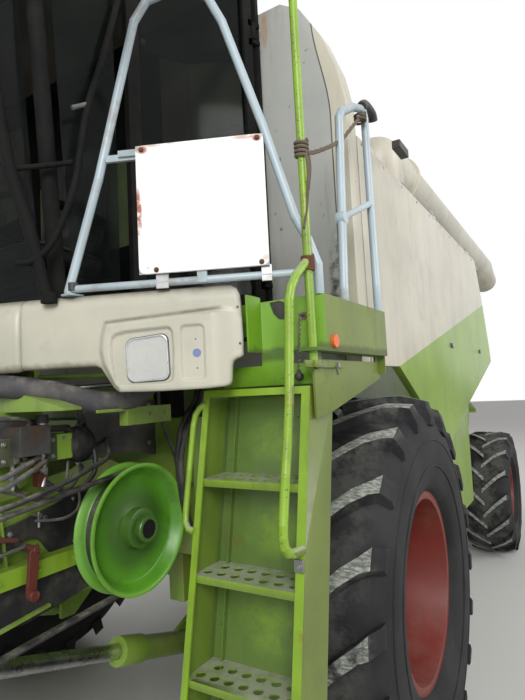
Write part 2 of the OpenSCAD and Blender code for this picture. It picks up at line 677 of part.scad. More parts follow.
// outlines of [along the slope, height] for the lamp box, its hollow and the lamp in it
lamp_box = [[-415, 2046], [-424, 2010], [-429, 1966], [-421, 1925], [-402, 1886], [-377, 1846],
    [-357, 1837],
    [-233, 1834], [-31, 1839], [-12, 1853], [-9, 1900], [4, 1921], [25, 1932], [27, 1990], [24, 2085],
    [-31, 2073], [-384, 2050]];
lamp_lid = [[-407, 2040], [-415, 2008], [-420, 1966], [-412, 1928], [-394, 1891], [-371, 1854],
    [-355, 1847],
    [-233, 1844], [-38, 1849], [-24, 1858], [-21, 1905], [-8, 1930], [6, 1942], [8, 1990], [-30, 2062], [-384, 2041]];
lamp_hollow = [[-364, 1862], [-233, 1860], [-205, 1861], [-193, 1868], [-186, 1950], [-188, 2010],
    [-196, 2022],
    [-205, 2026], [-331, 2020], [-360, 2014], [-374, 2004], [-379, 1980], [-378, 1935], [-370, 1884]];
function rounded(x0, x1, z0, z1, r) = [for (c = [[x1 - r, z0 + r, -90], [x1 - r, z1 - r, 0],
    [x0 + r, z1 - r, 90], [x0 + r, z0 + r, 180]]) for (a = [0 : 22.5 : 90])
    [c[0] + r * cos(c[2] + a), c[1] + r * sin(c[2] + a)]];
// heights of the box, its lid, and the hollow's floor off the slope
box_out = 16;
lid_out = 26;
hollow_out = 13;
module front_apron() {
    place() color("#dcd9cb") {
        for (q = [[1921, 1930, 9], [1930, 2112, 0], [2112, 2136, 3], [2136, 2150, 8]]) apron_sheet(q[0],
            q[1], q[2]);
        both_sides() on_fascia() difference() {
            union() {
                front_sheet(-box_out, 44, lamp_box);
                front_sheet(-lid_out, -box_out, lamp_lid);
            }
            front_sheet(-lid_out - 1, -hollow_out, lamp_hollow);
            front_sheet(-lid_out - 1, -lid_out + 9, rounded(-161, -86, 1862, 2030, 15));
        }
    }
}
module headlamps() {
    place() color("#cfd4d6") both_sides() on_fascia() difference() {
        front_sheet(-lid_out + 3, -hollow_out, rounded(-334, -203, 1866, 2003, 24));
        front_sheet(-lid_out + 2, -hollow_out - 5, rounded(-324, -213, 1876, 1993, 16));
    }
}
module mirrors() {
    place() color("#2d2d2f") both_sides() {
        rod_z(1000, -1440, roof_z - 90, roof_z, 16);
        translate([1000, -1440, roof_z - 70]) rotate([0, 90, -35]) cylinder(h = 366, r = 11);
        rod_z(1300, -1650, roof_z - 640, roof_z - 50, 14);
        box(1210, 1390, -1700, -1672, roof_z - 620, roof_z - 240);
        for (z = [roof_z - 580, roof_z - 300]) box(1290, 1310, -1672, -1652, z, z + 30);
    }
}
module rear_lamps() {
    place() color("#8a1a12") both_sides() {
        box(560, 800, hood_rear, hood_rear + 30, 1870, 1990);
        for (x = [580, 655, 730]) box(x, x + 55, hood_rear + 30, hood_rear + 45, 1885, 1975);
    }
}

// Feeder house, drawn along its own slope from its pivot shaft
module along_feeder() { place() translate([0, -fh_y, fh_z]) rotate([fh_slope, 0, 0]) children(); }
lift_d = [lift_b[0] + fh_y, lift_b[1] - fh_z];
lift_pin = [lift_d[0] * cos(fh_slope) + lift_d[1] * sin(fh_slope),
    lift_d[1] * cos(fh_slope) - lift_d[0] * sin(fh_slope)];
module feeder_house() {
    along_feeder() color("#7fa52a") difference() {
        union() {
            box(-600, 600, -fh_len, 0, -200, 225);
            rod_x(-600, 600, 0, 0, 240);
            box(-680, 680, -fh_len, 45 - fh_len, -260, flange_top);
            rod_x(-720, 880, 0, 0, 30);
            rod_x(590, 860, -1250, 20, 22);
            both_sides() {
                for (x = [lift_x - 60, lift_x + 36])
                    box(x, x + 24, lift_pin[0] - 50, lift_pin[0] + 50, lift_pin[1] - 40, -190);
                rod_x(lift_x - 50, lift_x + 50, lift_pin[0], lift_pin[1], lift_pin_r);
            }
        }
        box(-550, 550, -fh_len - 1, -400, -150, 185);
    }
}
module feeder_pulley() {
    along_feeder() color("#4fae28") rotate([90, 0, 90]) rotate_extrude() polygon([[30 + run, 780],
        [70, 780], [70, 768], [pulley_r - 45, 768], [pulley_r, 760], [pulley_r, 768], [pulley_r - 30, 785],
        [pulley_r - 30, 825], [pulley_r, 842], [pulley_r, 852], [pulley_r - 14, 852], [pulley_r - 22, 840],
        [pulley_r - 44, 812],
        [70, 812], [70, 850], [30 + run, 850]]);
}
module feeder_belt() {
    along_feeder() color("#1d1d1d") rotate([90, 0, 90]) {
        difference() {
            translate([0, 0, 788]) linear_extrude(34) hull() {
                circle(r = pulley_r - 18);
                translate([-1250, 20]) circle(r = 172);
            }
            translate([0, 0, 787]) linear_extrude(36) hull() {
                circle(r = pulley_r - 29);
                translate([-1250, 20]) circle(r = 161);
            }
        }
        difference() {
            translate([-1250, 20, 780]) cylinder(h = 50, r = 160);
            translate([-1250, 20, 779]) cylinder(h = 52, r = 22 + run);
        }
    }
}
module along_lift() {
    place() translate([lift_x, lift_a[0], lift_a[1]]) rotate([-lift_tilt, 0, 0]) children();
}
module lift_barrel_left() {
    along_lift() color("#7fa52a") difference() {
        union() {
            rod_x(-32, 32, 0, 0, 45);
            rod_y(0, -500, -30, 0, 50);
            rod_y(0, -500, -365, 0, 58);
        }
        rod_x(-33, 33, 0, 0, 22 + run);
        rod_y(0, -501, -62, 0, 30 + run);
    }
}
module lift_barrel_right() { mirror([1, 0, 0]) lift_barrel_left(); }
module lift_rod_left() {
    along_lift() color("#9a9a96") difference() {
        union() {
            rod_y(0, -lift_len, -345, 0, 30);
            rod_x(-31, 31, -lift_len, 0, 38);
        }
        rod_x(-32, 32, -lift_len, 0, lift_pin_r + 8);
    }
}
module lift_rod_right() { mirror([1, 0, 0]) lift_rod_left(); }
module valve_block() {
    place() color("#4e5a58") {
        box(450, 640, -1520, -1330, 1640, 1760);
        box(500, 590, -1440, -1400, 1760, floor_z - 60);
        rod_x(640, 740, -1420, 1700, 45);
    }
}

chassis_frame();
front_axle();
front_tyre_left();
front_tyre_right();
front_rim_left();
front_rim_right();
rear_axle_beam();
knuckle_left();
knuckle_right();
rear_tyre_left();
rear_tyre_right();
rear_rim_left();
rear_rim_right();
threshing_body();
front_wall();
grain_tank();
tank_cover_left();
tank_cover_right();
body_deck();
side_panel_left();
side_panel_right();
side_skirts();
cleaning_shoe();
straw_hood();
straw_chopper();
spreader_flap();
engine_block();
engine_cover();
radiator_housing();
rotary_screen();
exhaust_stack();
auger_turret();
unloading_auger();
cab_floor();
cab_frame();
cab_roof();
windscreen();
side_glass();
cab_door();
door_glass();
seat();
steering_column();
platform();
ladder();
front_rail();
side_rail();
front_apron();
headlamps();
mirrors();
rear_lamps();
feeder_house();
feeder_pulley();
feeder_belt();
lift_barrel_left();
lift_barrel_right();
lift_rod_left();
lift_rod_right();
valve_block();
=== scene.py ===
# Looks of the combine harvester: camera, light, materials and the pieces that CAD leaves out.
# p() takes the machine's own millimetres: X to its left, Y back from the front axle, Z up.
import json
import math
import bpy
import bmesh
from mathutils import Matrix, Vector
from mathutils.geometry import delaunay_2d_cdt

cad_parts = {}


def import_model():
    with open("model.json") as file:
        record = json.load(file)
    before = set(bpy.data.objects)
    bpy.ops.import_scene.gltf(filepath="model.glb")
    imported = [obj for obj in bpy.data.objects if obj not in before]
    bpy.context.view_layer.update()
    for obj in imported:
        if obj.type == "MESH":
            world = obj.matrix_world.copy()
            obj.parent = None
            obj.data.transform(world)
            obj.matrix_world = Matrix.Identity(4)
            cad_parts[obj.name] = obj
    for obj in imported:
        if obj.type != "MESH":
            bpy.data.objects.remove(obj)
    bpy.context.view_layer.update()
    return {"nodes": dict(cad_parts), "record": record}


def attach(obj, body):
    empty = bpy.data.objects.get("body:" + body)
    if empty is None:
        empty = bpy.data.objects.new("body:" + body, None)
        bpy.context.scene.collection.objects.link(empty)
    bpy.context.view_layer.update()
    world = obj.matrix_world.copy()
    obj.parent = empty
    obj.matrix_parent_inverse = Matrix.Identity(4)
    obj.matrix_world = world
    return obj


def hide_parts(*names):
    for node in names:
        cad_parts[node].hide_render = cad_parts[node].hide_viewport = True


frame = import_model()
nodes = frame["nodes"]
SHIFT = -1.7246353


def p(x, y, z):
    """Machine millimetres to the frame's metres."""
    return Vector((x / 1000, y / 1000 + SHIFT, z / 1000))


def mm(v):
    """The frame's metres to machine millimetres."""
    return (v - Vector((0, SHIFT, 0))) * 1000


# Camera, fitted to the photograph: its place in machine millimetres, its turns in radians, its lens
CAMERA_AT = (2229.1, -2456.4, 1824.3)
YAW, PITCH, ROLL = 0.54626, 0.07557, -0.05064
FOCAL_PX, PHOTO_HEIGHT_PX, SENSOR_MM = 517.4, 700, 36
fwd = Vector((-math.sin(YAW) * math.cos(PITCH), math.cos(YAW) * math.cos(PITCH), math.sin(PITCH)))
right0 = Vector((math.cos(YAW), math.sin(YAW), 0))
up0 = right0.cross(fwd)
right = right0 * math.cos(ROLL) + up0 * math.sin(ROLL)
up = up0 * math.cos(ROLL) - right0 * math.sin(ROLL)
cam_data = bpy.data.cameras.new("camera")
cam_data.lens = FOCAL_PX / PHOTO_HEIGHT_PX * SENSOR_MM
cam_data.sensor_width = SENSOR_MM
cam_data.clip_end = 200
camera = bpy.data.objects.new("camera", cam_data)
bpy.context.scene.collection.objects.link(camera)
camera.matrix_world = Matrix.Translation(p(*CAMERA_AT)) @ Matrix((right, up, -fwd)).transposed().to_4x4()
bpy.context.scene.camera = camera


# Materials
class Mat:
    """A material and short calls for its nodes; coordinates are the object's own, in metres."""

    def __init__(self, name):
        self.m = bpy.data.materials.new(name)
        self.m.use_nodes = True
        self.t = self.m.node_tree
        self.bsdf = self.t.nodes["Principled BSDF"]
        self.co = self.node("ShaderNodeTexCoord").outputs["Object"]
        self.normal = None

    def node(self, kind, **inputs):
        n = self.t.nodes.new(kind)
        for k, v in inputs.items():
            self.put(n.inputs[k.replace("_", " ")], v)
        return n

    def put(self, socket, value):
        if isinstance(value, bpy.types.NodeSocket):
            self.t.links.new(value, socket)
        elif isinstance(value, tuple) and len(value) == 3 and socket.type == "RGBA":
            socket.default_value = (*value, 1)
        else:
            socket.default_value = value

    def math(self, op, a, b=0.5, clamp=False):
        n = self.t.nodes.new("ShaderNodeMath")
        n.operation = op
        n.use_clamp = clamp
        self.put(n.inputs[0], a)
        self.put(n.inputs[1], b)
        return n.outputs[0]

    def mul(self, a, b, clamp=False):
        return self.math("MULTIPLY", a, b, clamp)

    def most(self, a, b, clamp=False):
        return self.math("MAXIMUM", a, b, clamp)

    def add(self, a, b):
        return self.math("ADD", a, b)

    def sub(self, a, b):
        return self.math("SUBTRACT", a, b)

    def inv(self, a):
        return self.math("SUBTRACT", 1.0, a)

    def div(self, a, b):
        return self.math("DIVIDE", a, b)

    def line(self, value, slope, start):
        """slope times value, plus start"""
        out = self.math("MULTIPLY_ADD", value, slope)
        self.put(out.node.inputs[2], start)
        return out

    def far(self, a, b):
        """Length of a vector of two numbers."""
        return self.math("SQRT", self.add(self.mul(a, a), self.mul(b, b)))

    def noise(self, scale, detail=4.0, rough=0.6, stretch=None):
        co = self.co
        if stretch:
            co = self.node("ShaderNodeMapping", Vector=self.co, Scale=stretch).outputs[0]
        return self.node("ShaderNodeTexNoise", Vector=co, Scale=scale, Detail=detail,
                         Roughness=rough).outputs["Fac"]

    def band(self, value, low, high):
        """0 below low, 1 above high."""
        n = self.t.nodes.new("ShaderNodeMapRange")
        n.interpolation_type = "SMOOTHSTEP"
        for k, v in (("Value", value), ("From Min", low), ("From Max", high)):
            self.put(n.inputs[k], v)
        return n.outputs[0]

    def patch(self, noise, low, high):
        """Patches of noise, whose values are noise()'s own."""
        return self.band(self.noise(*noise), low, high)

    def mix(self, fac, a, b):
        n = self.t.nodes.new("ShaderNodeMix")
        n.data_type = "RGBA"
        self.put(n.inputs[0], fac)
        self.put(n.inputs[6], a)
        self.put(n.inputs[7], b)
        return n.outputs[2]

    def facing_up(self):
        geo = self.node("ShaderNodeNewGeometry")
        return self.band(self.node("ShaderNodeSeparateXYZ", Vector=geo.outputs["Normal"]).outputs[2], 0.2,
                         0.95)

    def axis(self, i):
        return self.node("ShaderNodeSeparateXYZ", Vector=self.co).outputs[i]

    def bump(self, height, strength=0.2, distance=0.002):
        n = self.node("ShaderNodeBump", Height=height, Strength=strength, Distance=distance)
        if self.normal is not None:
            self.t.links.new(self.normal, n.inputs["Normal"])
        self.normal = n.outputs[0]
        self.t.links.new(self.normal, self.bsdf.inputs["Normal"])

    def set(self, **kw):
        for k, v in kw.items():
            self.put(self.bsdf.inputs[k.replace("_", " ")], v)
        return self


LADDER_LEAN, TOP_STEP_Y, TOP_STEP_Z, STEP_PITCH = 11, -1.100, 1.828, 0.277
DUST = (0.40, 0.36, 0.28)
RUST = (0.19, 0.065, 0.022)
PANEL_LINE = ((0.012, 1.904), (2.790, 2.513))


def paint(name, rgb, rough=0.38, dust=0.35, grime=0.35, rust=0.15, second=None, chips=0.25):
    """Worn paint: uneven colour, dust that lies on top faces, dark streaks, chips and rust."""
    a = Mat(name)
    dark = tuple(c * 0.72 for c in rgb)
    col = a.mix(a.patch((1.7, 5), 0.3, 0.75), rgb, dark)
    if second:
        # the lower colour of a two-tone panel, below a line that rises to the rear
        (y0, z0), (y1, z1) = PANEL_LINE
        rise = (z1 - z0) / (y1 - y0)
        line = a.line(a.axis(1), rise, z0 - (y0 + SHIFT) * rise)
        below = a.band(a.sub(line, a.axis(2)), -0.0015, 0.0015)
        low = a.mix(a.patch((1.7, 5), 0.3, 0.75), second, tuple(c * 0.75 for c in second))
        col = a.mix(below, col, low)
    streak = a.mul(a.band(a.noise(5, 6, 0.65, (3.0, 3.0, 0.35)), 0.48, 0.78), grime)
    col = a.mix(streak, col, (0.055, 0.05, 0.035))
    fine = a.patch((38, 7, 0.7), 0.6, 0.72)
    chip = a.mul(a.mul(fine, a.patch((4.0, 3), 0.5, 0.72)), chips)
    col = a.mix(chip, col, (0.045, 0.04, 0.035))
    spot = a.mul(a.band(a.mul(a.noise(9, 8, 0.75), a.noise(2.3, 2)), 0.3, 0.36), rust)
    col = a.mix(spot, col, a.mix(a.noise(60, 3), RUST, (0.30, 0.12, 0.04)))
    top = a.line(a.facing_up(), 0.75, 0.25)
    lay = a.mul(a.mul(top, a.patch((6.5, 8, 0.7), 0.32, 0.7)), dust, True)
    col = a.mix(lay, col, DUST)
    r = a.line(a.add(lay, spot), 0.45, rough)
    a.set(Base_Color=col, Roughness=r, Coat_Weight=0.12, Coat_Roughness=0.25)
    a.bump(a.noise(2.2, 3), 0.12, 0.004)
    a.bump(a.noise(160, 4), 0.1, 0.0006)
    return a.m


def metal(name, rgb, rough=0.35, oil=0.4, rust=0.2, metallic=1.0):
    a = Mat(name)
    col = a.mix(a.patch((7, 6), 0.35, 0.7), rgb, tuple(c * 0.6 for c in rgb))
    col = a.mix(a.mul(a.patch((4, 8, 0.7), 0.45, 0.65), oil), col, (0.03, 0.027, 0.022))
    spot = a.mul(a.patch((16, 8, 0.75), 0.52, 0.66), rust)
    col = a.mix(spot, col, RUST)
    r = a.line(a.noise(30, 5), 0.35, rough - 0.15)
    a.set(Base_Color=col, Roughness=r, Metallic=metallic)
    a.bump(a.noise(90, 5), 0.15, 0.0008)
    return a.m


def plastic(name, rgb, rough=0.5, dust=0.25, grain=220, gloss=0.5):
    a = Mat(name)
    col = a.mix(a.patch((3, 5), 0.35, 0.7), rgb, tuple(c * 0.7 for c in rgb))
    top = a.mul(a.patch((9, 8, 0.7), 0.4, 0.75), dust)
    top = a.mul(top, a.add(a.facing_up(), 0.35), True)
    col = a.mix(top, col, DUST)
    r = a.line(top, 0.4, rough)
    a.set(Base_Color=col, Roughness=r, Specular_IOR_Level=gloss)
    a.bump(a.noise(grain, 3), 0.12, 0.0005)
    return a.m


def rubber_tread(name, axle):
    """Tyre rubber: dry mud and chaff lie on the upper lug faces, the sidewall is plain and dusty."""
    a = Mat(name)
    col = a.mix(a.patch((6, 6), 0.35, 0.7), (0.010, 0.010, 0.012), (0.018, 0.018, 0.020))
    dy = a.sub(a.axis(1), axle[0])
    dz = a.sub(a.axis(2), axle[1])
    rad = a.far(dy, dz)
    out = a.band(rad, axle[2] - 0.10, axle[2] - 0.012)
    mud = a.mul(a.patch((7, 8, 0.7), 0.42, 0.62), a.mul(out, 0.35))
    col = a.mix(mud, col, a.mix(a.noise(55, 6, 0.8), (0.10, 0.10, 0.09), (0.36, 0.36, 0.32)))
    wall = a.mul(a.patch((3.2, 6), 0.4, 0.7), 0.2)
    col = a.mix(wall, col, (0.07, 0.066, 0.06))
    a.set(Base_Color=col, Roughness=a.add(a.mul(mud, 0.25), 0.68), Specular_IOR_Level=0.22)
    a.bump(a.noise(70, 6, 0.75), 0.35, 0.002)
    return a.m


def lug_face(name):
    """Tops of the lugs: dried whitish mud with straw in it, worn off in places."""
    a = Mat(name)
    col = a.mix(a.patch((6, 6), 0.35, 0.7), (0.018, 0.018, 0.020), (0.032, 0.031, 0.031))
    straw = a.band(a.noise(60, 6, 0.8, (0.35, 1.6, 1.6)), 0.42, 0.6)
    mud = a.mul(a.patch((2.6, 6, 0.7), 0.34, 0.46), 0.95)
    mud = a.mul(mud, a.patch((24, 6, 0.7), 0.2, 0.42))
    col = a.mix(mud, col, a.mix(straw, (0.16, 0.17, 0.15), (0.44, 0.46, 0.41)))
    a.set(Base_Color=col, Roughness=0.92, Specular_IOR_Level=0.22)
    a.bump(straw, 0.5, 0.003)
    a.bump(a.noise(70, 6, 0.75), 0.3, 0.002)
    return a.m


def glass(name, rgb, alpha, rough=0.06):
    """Thin tinted pane with smears; what is behind it shows through."""
    a = Mat(name)
    smear = a.band(a.noise(3, 7, 0.7, (1, 1, 0.5)), 0.4, 0.8)
    a.set(Base_Color=a.mix(smear, rgb, tuple(min(1, c * 1.5 + 0.006) for c in rgb)))
    r = a.line(smear, 0.16, rough)
    a.set(Roughness=r, Alpha=alpha, IOR=1.5, Specular_IOR_Level=0.16)
    a.m.blend_method = "BLEND"
    return a.m


def cloth(name, rgb):
    a = Mat(name)
    weave = a.mul(a.node("ShaderNodeTexWave", Vector=a.co, Scale=180.0).outputs["Fac"], a.noise(240, 2))
    col = a.mix(weave, tuple(c * 0.6 for c in rgb), tuple(min(1, c * 1.5) for c in rgb))
    col = a.mix(a.mul(a.patch((7, 6), 0.5, 0.75), 0.35), col, DUST)
    a.set(Base_Color=col, Roughness=0.9, Sheen_Weight=0.3)
    a.bump(weave, 0.4, 0.001)
    return a.m


def along(a, ox, oy, degrees):
    """Metres along a swept line from a point in machine millimetres, alike on both sides."""
    x = a.sub(a.math("ABSOLUTE", a.axis(0)), ox / 1000)
    y = a.sub(a.axis(1), oy / 1000 + SHIFT)
    return a.add(a.mul(x, math.cos(math.radians(degrees))), a.mul(y, math.sin(math.radians(degrees))))


def spot(a, u, w, u0, w0, ru, rw, edge=0.35):
    """1 in an oval spot, fading out at its edge."""
    du = a.div(a.sub(u, u0), ru)
    dw = a.div(a.sub(w, w0), rw)
    d = a.add(a.mul(du, du), a.mul(dw, dw))
    return a.inv(a.band(d, edge, 1.3))


def finish_paint(a, col, rough, lay):
    r = a.line(lay, 0.4, rough)
    a.set(Base_Color=col, Roughness=r, Coat_Weight=0.12, Coat_Roughness=0.25)
    a.bump(a.noise(2.2, 3), 0.1, 0.003)
    a.bump(a.noise(150, 4), 0.12, 0.0006)
    return a.m


def fairing_paint(name):
    """Old cream plastic: dust along its upper edge, a painted shadow line along the brow over the lamp, and
    darker along the lower edge.
    """
    a = Mat(name)
    u = along(a, 1080, -1289, 25)
    z = a.axis(2)
    col = a.mix(a.patch((3.0, 5), 0.3, 0.75), (0.52, 0.50, 0.41), (0.42, 0.41, 0.33))
    brow = a.sub(z, a.line(u, 0.0645, 2.0605))
    # a thin dark line along the brow over the lamp box: painted shadow
    brow_shadow = a.mul(a.band(brow, -0.007, 0.001), a.inv(a.band(brow, 0.004, 0.013)))
    brow_shadow = a.mul(brow_shadow, a.mul(a.band(u, -0.125, -0.105), a.inv(a.band(u, 0.245, 0.268))))
    top = a.band(a.add(z, a.mul(a.noise(14, 6), 0.03)), 2.138, 2.168)
    # darker along the lower edge, left of the lamp box
    low = a.mul(a.inv(a.band(a.add(z, a.mul(a.noise(30, 6), -0.03)), 1.905, 1.93)),
                a.inv(a.band(u, -0.15, -0.12)))
    # together: dust on the upper edge, the painted shadow along the brow and the darker lower edge
    shadow_and_dirt = a.most(a.mul(brow_shadow, a.add(a.noise(22, 6), 0.2)), a.most(a.mul(top, 0.75), a.mul(low, 0.8)), True)
    blot = a.mul(a.patch((8, 8, 0.7), 0.55, 0.8), 0.3)
    col = a.mix(a.most(shadow_and_dirt, blot, True), col, (0.13, 0.115, 0.09))
    return finish_paint(a, col, 0.42, shadow_and_dirt)


def ladder_paint(name):
    """Yellow-green ladder: front faces lighter as painted light, the outer side of the stile and the plate
    behind the steps darker as painted shade, with lighter patches on that plate.
    """
    a = Mat(name)
    x, y, z = (a.axis(i) for i in range(3))
    t = math.tan(math.radians(LADDER_LEAN))
    depth = a.sub(y, a.line(z, t, TOP_STEP_Y + SHIFT - TOP_STEP_Z * t))
    # masks of the plate behind the steps, which gets a darker copy of the green (painted shade), and of the
    # front faces, which get a lighter one (painted light)
    back = a.mul(a.band(depth, 0.120, 0.132), a.inv(a.band(depth, 0.162, 0.168)))
    front = a.inv(a.band(depth, 0.004, 0.010))
    col = a.mix(a.patch((2.5, 5), 0.3, 0.7), (0.18, 0.28, 0.03), (0.13, 0.20, 0.03))
    # front faces lighter: painted light
    col = a.mix(front, col, a.mix(a.patch((5, 5), 0.35, 0.75), (0.235, 0.40, 0.022), (0.18, 0.30, 0.022)))
    cell = a.math("FRACT", a.div(a.sub(TOP_STEP_Z, z), STEP_PITCH))
    # lighter patches on the shaded plate between the steps
    lighter_patch = spot(a, x, cell, 1.375, 0.60, 0.12, 0.30, 0.1)
    lighter_patch = a.mul(lighter_patch, a.patch((9, 7, 0.7), 0.3, 0.6))
    # the plate behind the steps in a darker green: painted shade
    darker_tone = a.mix(a.patch((4.5, 7, 0.65), 0.35, 0.7), (0.095, 0.165, 0.030), (0.125, 0.195, 0.045))
    darker_tone = a.mix(a.mul(lighter_patch, 0.6), darker_tone, (0.19, 0.33, 0.025))
    col = a.mix(back, col, darker_tone)
    # the outer side of the stile in a darker green: painted shade
    outer = a.mul(a.band(x, 1.5592, 1.5598), a.inv(a.band(z, 1.829, 1.832)))
    col = a.mix(outer, col, a.mix(a.patch((3, 6), 0.3, 0.7), (0.135, 0.185, 0.022), (0.10, 0.14, 0.020)))
    drip = a.mul(a.band(a.noise(7, 6, 0.65, (3.0, 3.0, 0.3)), 0.5, 0.8), 0.45)
    col = a.mix(drip, col, (0.06, 0.065, 0.03))
    chip = a.mul(a.patch((42, 7, 0.7), 0.61, 0.70), a.patch((5, 3), 0.42, 0.7))
    tube = a.most(a.band(z, 1.84, 1.95), a.inv(a.band(depth, -0.02, -0.012)))
    chip = a.most(chip, a.mul(a.mul(a.patch((110, 4, 0.6), 0.62, 0.67), tube), 0.9))
    col = a.mix(chip, col, (0.02, 0.018, 0.014))
    rust = a.mul(a.band(a.mul(a.noise(13, 8, 0.75), a.noise(3, 2)), 0.36, 0.42), 0.35)
    col = a.mix(rust, col, RUST)
    lay = a.mul(a.facing_up(), a.patch((9, 8, 0.7), 0.25, 0.6))
    lay = a.mul(lay, 0.85, True)
    col = a.mix(lay, col, (0.36, 0.37, 0.29))
    return finish_paint(a, col, 0.40, lay)


def platform_paint(name):
    """Bright green in front, olive on the outer side as painted shade on the same green, with black specks
    and grime on the lower edges.
    """
    a = Mat(name)
    x, z = a.axis(0), a.axis(2)
    # the outer side gets an olive copy of the front's green: painted shade
    side = a.most(a.band(x, 1.6022, 1.6028), a.mul(a.band(x, 1.5658, 1.5662), a.inv(a.band(z, 1.915, 1.925))))
    front = a.mix(a.patch((3, 5), 0.3, 0.7), (0.16, 0.34, 0.016), (0.12, 0.26, 0.016))
    olive = a.mix(a.patch((3, 6), 0.3, 0.7), (0.145, 0.195, 0.022), (0.11, 0.15, 0.020))
    col = a.mix(side, front, olive)
    low = a.mul(a.inv(a.band(a.add(z, a.mul(a.noise(30, 6), -0.03)), 1.925, 1.945)), a.band(z, 1.90, 1.92))
    speck = a.mul(a.patch((60, 6, 0.7), 0.63, 0.70), a.patch((4, 3), 0.4, 0.6))
    smear = a.mul(a.patch((9, 7, 0.7), 0.52, 0.75), 0.35)
    dark = a.most(a.most(a.mul(low, 0.6), speck), smear, True)
    col = a.mix(dark, col, (0.035, 0.040, 0.020))
    dust = a.mul(a.facing_up(), 0.7, True)
    col = a.mix(dust, col, DUST)
    return finish_paint(a, col, 0.45, dark)


def sign_paint(name):
    """White sheet with rust at its bolts and down the middle of its inner edge."""
    a = Mat(name)
    u = along(a, 1088, -1283, 25)
    z = a.axis(2)
    n = a.noise(30, 7, 0.7)
    rust = 0.0
    for u0, z0, ru, rz, k in ((0.020, 2.590, 0.020, 0.014, 0.9), (0.385, 2.592, 0.016, 0.012, 0.9),
                              (0.350, 2.598, 0.045, 0.007, 0.6), (0.004, 2.385, 0.012, 0.085, 1.0),
                              (0.060, 2.602, 0.070, 0.006, 0.5), (0.395, 2.22, 0.012, 0.010, 0.4),
                              (0.03, 2.215, 0.007, 0.006, 0.5)):
        q = a.mul(spot(a, u, z, u0, z0, ru, rz), k)
        rust = q if rust == 0.0 else a.most(rust, q)
    rust = a.mul(rust, a.band(n, 0.35, 0.55))
    col = a.mix(a.patch((4, 4), 0.4, 0.8), (0.88, 0.88, 0.86), (0.80, 0.80, 0.76))
    col = a.mix(rust, col, a.mix(a.noise(70, 3), (0.30, 0.06, 0.03), (0.45, 0.16, 0.08)))
    return finish_paint(a, col, 0.35, rust)


def wall_paint(name):
    """Cream wall whose front face is painted grey as painted shade, with cream shoulders beyond a seam, and
    black grime low beside the seam.
    """
    a = Mat(name)
    x = a.math("ABSOLUTE", a.axis(0))
    z = a.axis(2)
    lean = a.band(z, 2.95, 3.42)
    seam = a.sub(1.430, a.mul(lean, 0.065))
    d = a.sub(x, seam)
    # the grey of the front face is the cream paint darkened to stand in for shade: painted shade; beyond the
    # seam the cream is the paint's own colour
    col = a.mix(a.patch((2.0, 6), 0.3, 0.75), (0.40, 0.405, 0.375), (0.33, 0.34, 0.32))
    col = a.mix(a.band(d, -0.001, 0.001), col, a.mix(a.noise(5, 5), (0.56, 0.53, 0.42), (0.47, 0.44, 0.35)))
    line = a.inv(a.band(a.math("ABSOLUTE", d), 0.002, 0.004))
    grime = a.mul(spot(a, d, z, -0.010, 2.15, 0.045, 0.32, 0.2), a.patch((14, 7, 0.7), 0.35, 0.6))
    fly = a.mul(a.patch((26, 5, 0.6), 0.66, 0.72), 0.7)
    streak = a.mul(a.band(a.noise(5, 6, 0.65, (3.0, 3.0, 0.3)), 0.5, 0.8), 0.35)
    dark = a.most(a.most(a.mul(line, 0.85), grime), a.most(fly, streak), True)
    col = a.mix(dark, col, (0.025, 0.024, 0.022))
    rust = a.mul(spot(a, x, z, 1.135, 3.46, 0.02, 0.10, 0.2), a.noise(20, 4))
    col = a.mix(rust, col, (0.34, 0.17, 0.06))
    return finish_paint(a, col, 0.45, dark)


def pulley_paint(name):
    """Worn green: lighter at the rim, darker in the dish between rim and hub."""
    a = Mat(name)
    dy = a.sub(a.axis(1), -1.075 + SHIFT)
    dz = a.sub(a.axis(2), 1.350)
    rad = a.far(dy, dz)
    col = a.mix(a.patch((5, 6), 0.35, 0.7), (0.085, 0.27, 0.012), (0.060, 0.20, 0.012))
    rim = a.band(rad, 0.205, 0.222)
    col = a.mix(rim, col, (0.15, 0.36, 0.040))
    # a darker tone in the dish between rim and hub
    darker_tone = a.inv(a.band(a.add(rad, a.mul(a.noise(9, 6, 0.7), 0.05)), 0.125, 0.195))
    col = a.mix(a.mul(darker_tone, 0.85), col, (0.042, 0.10, 0.016))
    drip = a.mul(a.patch((9, 8, 0.7), 0.52, 0.72), 0.4)
    col = a.mix(drip, col, (0.022, 0.035, 0.012))
    chip = a.mul(a.patch((60, 6, 0.7), 0.66, 0.72), 0.6)
    col = a.mix(chip, col, (0.03, 0.02, 0.012))
    return finish_paint(a, col, 0.38, drip)


LIME = (0.20, 0.335, 0.03)
CREAM = (0.56, 0.53, 0.43)
PAINTS = {
    "green_paint": (LIME, 0.42, 0.5, 0.5, 0.2),
    "bright_green_paint": ((0.27, 0.46, 0.028), 0.38, 0.3, 0.35, 0.12, None, 0.6),
    "panel_paint": (CREAM, 0.36, 0.15, 0.18, 0.08, (0.22, 0.37, 0.028)),
    "cream_paint": (CREAM, 0.40, 0.35, 0.3, 0.1),
    "grey_paint": ((0.33, 0.36, 0.35), 0.45, 0.45, 0.4, 0.15),
    "blue_grey_paint": ((0.42, 0.51, 0.55), 0.36, 0.15, 0.25, 0.3, None, 0.5),
    # red_paint: the red of the wheel rims, darkened to stand in for the shade on them: painted shade
    "red_paint": ((0.17, 0.014, 0.006), 0.55, 0.08, 0.5, 0.2),
    "red_rust": ((0.13, 0.022, 0.013), 0.6, 0.2, 0.6, 0.9),
    "olive_block": ((0.045, 0.060, 0.022), 0.5, 0.4, 0.6, 0.2),
}
